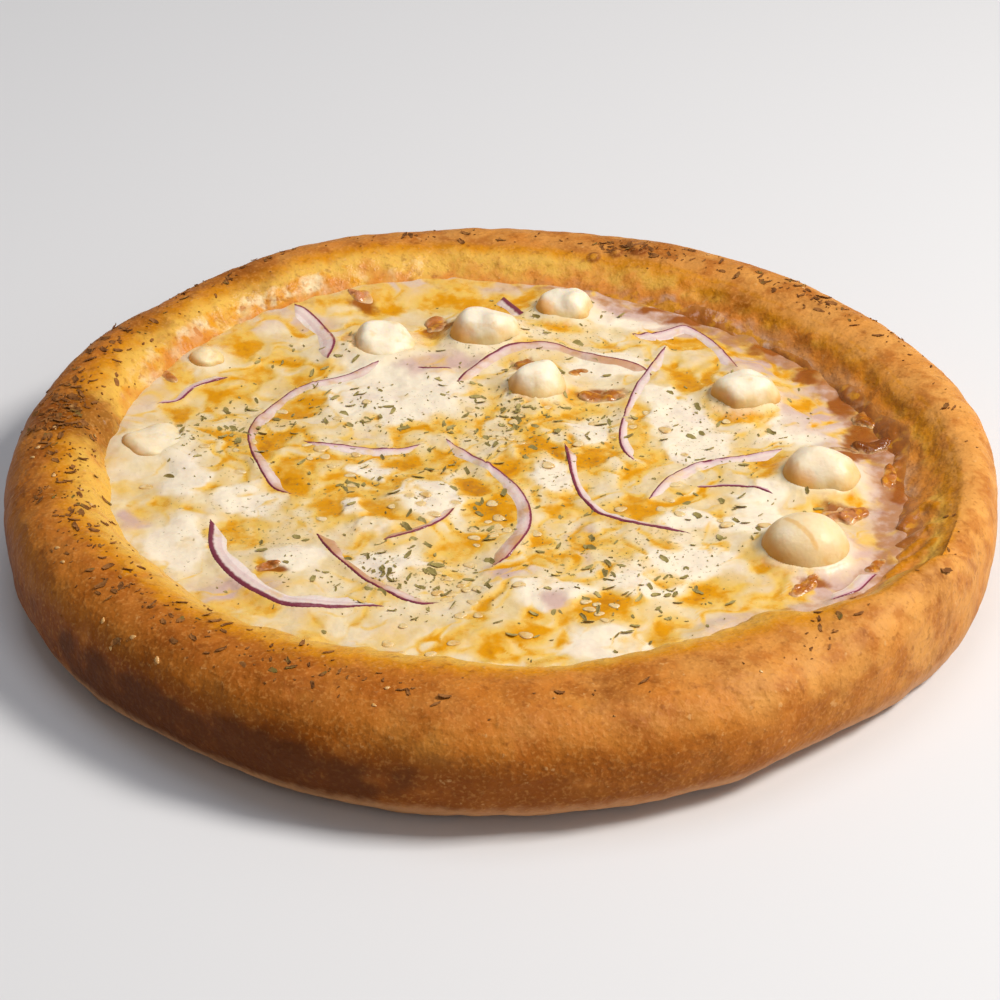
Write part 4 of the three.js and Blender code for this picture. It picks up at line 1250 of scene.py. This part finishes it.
# Baked bacon fat and lean: orange brown, wet, with darker seared ridges and golden fat.
bacon_coats = (
    ("pink", "roasted", 4.0, -0.8, 0.5, 0.0, "#c58458", 0.85),
    ("gold", None, 2.6, 1.0, 0.0, 0.16, "#cc8a1c", 0.85),
    ("dark", "roasted", 3.0, 1.0, 0.5, 0.95, "#703604", 0.9),
    ("seared", None, 2.2, 1.0, 0.06, 0.2, "#743806", 0.7),
    ("cheesy", "up", 2.5, -1.2, 0.9, 0.1, "#d9b988", 0.9),
)
bacon_material = baked_food(
    "baked_bacon",
    "#a8600e",
    bacon_coats,
    {
        "Roughness": 0.22,
        "IOR": 1.46,
        "Subsurface Weight": 0.1,
        "Subsurface Radius": (1.0, 0.4, 0.2),
        "Subsurface Scale": 0.001,
    },
    ((2.2, 0.5), (0.9, 0.15)),
)
for number, scrap in enumerate(BACON_BITS, start=1):
    mesh = bacon_mesh(number, *scrap)
    set_piece(f"bacon_{number}", mesh, bacon_material, "bacon", f"bacon_bit_{number}")


# Garlic granules
# Crumbs and flakes of dried garlic, shaken over with the herbs before baking. On the cheese they
# soaked up fat and turned straw coloured, and on the rim they toasted dry.
# How far apart the cheese's height is taken to find its slope, and where the rim's top begins.
PROBE = 0.6
RIM_TOP_FROM = 21.0
GRANULE_STRETCH = 1.3
GRANULE_FLATNESS = 0.3
GRANULE_DISH = 0.12
# Pale flakes of dried garlic on the rim: angle, radius from the middle, and size.
RIM_FLAKES = (
    (178, 135.2, 1.4), (-178, 138.5, 1.2), (-176, 139.8, 1.0), (-171, 133.6, 1.3),
    (-168, 126.5, 1.0), (-164, 124.5, 1.1), (-154, 140.0, 1.1), (-151, 141.6, 1.0),
    (-140, 144.0, 1.2), (-135, 143.0, 1.3), (-137, 147.0, 0.9), (-130, 145.0, 1.5),
    (-103, 134.0, 1.1), (-104, 140.9, 0.9), (-60, 139.0, 0.8), (60, 138.0, 0.9), (44, 137.0, 0.8),
)


def frame_on(up, turn):
    """Two directions along a surface that faces up, turned by an angle."""
    flat = np.cross(up, (0.3, 0.9, 0.1))
    flat = flat / np.linalg.norm(flat)
    other = np.cross(up, flat)
    return (
        flat * math.cos(turn) + other * math.sin(turn),
        other * math.cos(turn) - flat * math.sin(turn),
    )


def crust_spot(turn, radius):
    """The point of the rim's top at an angle and a radius, and the way it faces."""
    column = int(round((turn + 180) / 360 * CRUST_COLUMNS)) % CRUST_COLUMNS
    rows = crust_points[column, UNDERSIDE_ROWS:UNDERSIDE_ROWS + SHOWN_ROWS]
    outline = np.hypot(rows[:, 0], rows[:, 1])
    top = np.where(rows[:, 2] > RIM_TOP_FROM, np.abs(outline - radius), 1e9)
    row = int(np.argmin(top)) + UNDERSIDE_ROWS
    return crust_points[column, row], crust_facing[column, row]


def cheese_spot(x, y):
    """The point of the cheese at a place, and the way it faces."""
    near = lying_height(np.array([x, x + PROBE, x]), np.array([y, y, y + PROBE]))
    up = np.array([(near[0] - near[1]) / PROBE, (near[0] - near[2]) / PROBE, 1.0])
    return np.array([x, y, near[0]]), up / np.linalg.norm(up)


granule_shape = bmesh.new()
for gx, gy, size in granules:
    spot, _ = cheese_spot(gx, gy)
    made = bmesh.ops.create_icosphere(granule_shape, subdivisions=3, radius=1)
    seed = int(gx * 7 + gy * 13)
    for corner in made["verts"]:
        a, b, c = corner.co
        turn = math.atan2(b, a)
        swell = 1 + 0.14 * math.sin(2 * turn + seed) + 0.09 * math.sin(3 * turn + 2 * seed)
        dish = GRANULE_DISH * max(0.0, 1 - (a * a + b * b) / 0.5) * max(c, 0)
        out = (a * GRANULE_STRETCH * swell, b * swell, c * GRANULE_FLATNESS - dish)
        corner.co = (spot + np.array(out) * size) * MM
toasting = granule_shape.verts.layers.float.new("toasted")
for turn, radius, size in RIM_FLAKES:
    spot, up = crust_spot(turn, radius)
    along, across = frame_on(up, turn)
    made = bmesh.ops.create_icosphere(granule_shape, subdivisions=2, radius=1)
    for corner in made["verts"]:
        a, b, c = corner.co
        out = along * a * (0.8 + 0.3 * b) * size + across * b * (0.5 - 0.2 * a) * size
        corner.co = (spot + out + up * (c * size * GRANULE_FLATNESS + 0.1)) * MM
        corner[toasting] = 1.0
for face in granule_shape.faces:
    face.smooth = True
granule_mesh = as_mesh("garlic_granules", granule_shape)

# Soaked garlic granules: straw coloured, translucent and glossy.
granule_coats = (
    ("pale", None, 2.0, 1.0, 0.0, 0.25, "#e8d6ae", 0.8),
    ("amber", None, 3.0, 1.0, 0.0, 0.2, "#cf9f4c", 0.7),
    ("toasted", "toasted", 3.0, 0.6, 0.3, 1.2, "#d3a05e", 0.9),
)
granule_material = baked_food(
    "soaked_garlic_granules",
    "#dcc08a",
    granule_coats,
    {
        "Roughness": 0.2,
        "IOR": 1.45,
        "Subsurface Weight": 0.3,
        "Subsurface Radius": (1.0, 0.7, 0.4),
        "Subsurface Scale": 0.001,
    },
    ((0.7, 0.08),),
)
set_piece("garlic_granules", granule_mesh, granule_material, "melted_cheese")


# Dried herbs
# Crumbled oregano and basil, shaken over the pizza before baking. On the rim the scraps toasted
# brown, and on the cheese they soaked up fat and stayed olive green.
# Length of a scrap: the least, the most that is added, and how rare the long ones are. Then its
# least breadth, its breadth as a share of its length, and its thickness.
HERB_SHORTEST = 0.5
HERB_SPREAD = 3.6
HERB_SKEW = 3.2
HERB_NARROWEST = 0.4
HERB_SLENDERNESS = (0.28, 0.62)
HERB_THICKNESS = 0.16
# Radius within which herbs lie on the cheese, and how steeply scraps tilt and how much they curl.
HERBS_ON_CHEESE = 106.0
TOASTED_TILT = 0.5
TOASTED_CURL = 0.12
SOAKED_TILT = 0.7
SOAKED_CURL = 0.08
# Drifts of herbs on the rim: middle angle, spread round, middle radius, spread across and count.
CRUST_DRIFTS = (
    (173, 11, 136, 9, 170), (174, 16, 128, 10, 70), (-168, 16, 131, 12, 90),
    (-150, 14, 132, 12, 60), (-135, 14, 132, 12, 56), (-118, 12, 132, 12, 46),
    (-102, 10, 133, 8, 15), (-80, 14, 134, 8, 10), (-50, 10, 135, 7, 21), (-25, 12, 140, 6, 12),
    (20, 20, 139, 5, 24), (42, 12, 135, 7, 90), (68, 13, 132, 6, 75), (95, 20, 134, 5, 24),
    (130, 20, 136, 7, 33), (152, 14, 135, 8, 60),
)
# Drifts of herbs on the cheese: x, y, spread and count.
CHEESE_DRIFTS = (
    (8, 27, 22, 150), (-26, -62, 17, 120), (-84, 16, 18, 100), (-46, 30, 16, 60),
    (-40, -8, 16, 50), (36, -50, 30, 80), (20, -70, 20, 60), (48, -74, 16, 34), (0, 5, 60, 260),
    (-60, 60, 24, 60), (-60, -60, 24, 40), (70, 20, 28, 80), (84, -28, 26, 60), (10, 75, 34, 90),
)


def lay_scrap(herbs, spot, up, steepest, most_curled, draw):
    """Lays one crumbled leaf on a surface, as a crooked sheet that is tilted, ragged and curled."""
    along, across = frame_on(up, draw.uniform(0, math.pi))
    tilt = draw.uniform(0, steepest)
    across = across * math.cos(tilt) + up * math.sin(tilt)
    length = HERB_SHORTEST + HERB_SPREAD * draw.random() ** HERB_SKEW
    breadth = max(HERB_NARROWEST, length * draw.uniform(*HERB_SLENDERNESS))
    curl = draw.uniform(0.0, most_curled)
    made = bmesh.ops.create_grid(herbs, x_segments=4, y_segments=2, size=1)
    lean = draw.uniform(-0.5, 0.5)
    for corner in made["verts"]:
        a, b = corner.co.x, corner.co.y
        narrow = 1 - 0.55 * abs(a) ** 1.5
        out = (a + draw.uniform(-0.16, 0.16)) * length / 2
        wide = (b * narrow + lean * (a * a - 0.3) + draw.uniform(-0.2, 0.2)) * breadth / 2
        high = 0.14 + curl * length * (a * a + 0.4 * b * b) + draw.uniform(0, 0.16)
        corner.co = (spot + along * out + across * wide + up * high) * MM


def finish_herbs(name, herbs):
    """Gives the sheets their thickness and turns every face outwards."""
    bmesh.ops.solidify(herbs, geom=herbs.faces[:], thickness=HERB_THICKNESS * MM)
    bmesh.ops.recalc_face_normals(herbs, faces=herbs.faces)
    return as_mesh(name, herbs)


crust_draw = random.Random(11)
crust_herbs = bmesh.new()
for at, round_it, radius, through, count in CRUST_DRIFTS:
    for _ in range(count):
        turn = crust_draw.gauss(at, round_it / 2)
        away = min(crust_draw.gauss(radius, through / 2), OUTER_RADIUS - 1.5)
        lay_scrap(crust_herbs, *crust_spot(turn, away), TOASTED_TILT, TOASTED_CURL, crust_draw)
crust_herb_mesh = finish_herbs("toasted_herbs", crust_herbs)

cheese_draw = random.Random(12)
cheese_herbs = bmesh.new()
for mx, my, away, count in CHEESE_DRIFTS:
    for _ in range(count):
        x, y = cheese_draw.gauss(mx, away / 1.6), cheese_draw.gauss(my, away / 1.6)
        if math.hypot(x, y) <= HERBS_ON_CHEESE:
            lay_scrap(cheese_herbs, *cheese_spot(x, y), SOAKED_TILT, SOAKED_CURL, cheese_draw)
cheese_herb_mesh = finish_herbs("soaked_herbs", cheese_herbs)

# Toasted oregano: dry, matt and brown, with some scraps still green or straw coloured.
toasted_coats = (
    ("brown", None, 3.0, 1.0, -0.12, 0.06, "#9a6634", 0.9),
    ("green", None, 6.0, 1.0, 0.06, 0.18, "#746a30", 0.8),
    ("straw", None, 4.0, 1.0, 0.16, 0.24, "#b8925a", 0.9),
)
toasted_material = baked_food(
    "toasted_oregano",
    "#734720",
    toasted_coats,
    {"Roughness": 0.7, "Specular IOR Level": 0.15},
    ((0.4, 0.1),),
)
set_piece("toasted_herbs", crust_herb_mesh, toasted_material, "baked_dough")

# Soaked oregano: olive green, a little shiny with fat.
soaked_coats = (
    ("brown", None, 4.0, 1.0, 0.05, 0.2, "#7f6a36", 0.9),
    ("light", None, 5.0, 1.0, -0.05, 0.15, "#b5a568", 0.8),
)
soaked_material = baked_food(
    "soaked_oregano",
    "#94854a",
    soaked_coats,
    {"Roughness": 0.5, "Specular IOR Level": 0.3},
    ((0.4, 0.1),),
)
set_piece("soaked_herbs", cheese_herb_mesh, soaked_material, "melted_cheese")


# Studio
# A pale floor, a large soft light at the right, and weak fills, with the camera at the height
# and distance that show the pizza as it was photographed.
FLOOR_REACH = 4
SKY_STRENGTH = 0.24
floor_shape = bmesh.new()
bmesh.ops.create_grid(floor_shape, x_segments=1, y_segments=1, size=FLOOR_REACH)
floor_mesh = as_mesh("floor", floor_shape)
floor = put("floor", floor_mesh)
floor_material = bpy.data.materials.new("pale_floor")
floor_material.use_nodes = True
floor_shader = floor_material.node_tree.nodes["Principled BSDF"]
floor_shader.inputs["Base Color"].default_value = srgb("#dadcdf")
floor_shader.inputs["Roughness"].default_value = 0.7
floor_mesh.materials.append(floor_material)

LIGHTS = (
    # name, place in metres, size in metres, watts, colour
    ("key", (1.0, -0.1, 1.15), 0.42, 24, "#fff8f0"),
    ("front_fill", (0.75, -1.2, 0.8), 0.5, 2.2, "#fffaf4"),
    ("top_fill", (-0.1, 0.25, 1.75), 0.9, 6, "#f8f8ff"),
)
for name, spot, size, watts, shade in LIGHTS:
    lamp = bpy.data.lights.new(name, "AREA")
    lamp.size = size
    lamp.energy = watts
    lamp.color = srgb(shade)[:3]
    light = put(name, lamp)
    light.location = spot
    away = light.location.copy()
    light.rotation_mode = "QUATERNION"
    light.rotation_quaternion = away.to_track_quat("Z", "Y")

world = bpy.data.worlds.new("studio")
bpy.context.scene.world = world
world.use_nodes = True
world.node_tree.nodes["Background"].inputs["Color"].default_value = srgb("#f2f2f4")
world.node_tree.nodes["Background"].inputs["Strength"].default_value = SKY_STRENGTH
bpy.context.scene.view_settings.view_transform = "Standard"

CAMERA_DISTANCE = 0.975
CAMERA_ELEVATION = 32.0
CAMERA_TARGET = (-0.0003, 0.0205, 0.0)
CAMERA_SENSOR = 36
CAMERA_LENS = 112.3
camera_data = bpy.data.cameras.new("camera")
camera_data.sensor_width = CAMERA_SENSOR
camera_data.lens = CAMERA_LENS
camera = put("camera", camera_data)
tilt = math.radians(CAMERA_ELEVATION)
camera.location = (
    CAMERA_TARGET[0],
    CAMERA_TARGET[1] - CAMERA_DISTANCE * math.cos(tilt),
    CAMERA_TARGET[2] + CAMERA_DISTANCE * math.sin(tilt),
)
camera.rotation_euler = (math.pi / 2 - tilt, 0, 0)
bpy.context.scene.camera = camera
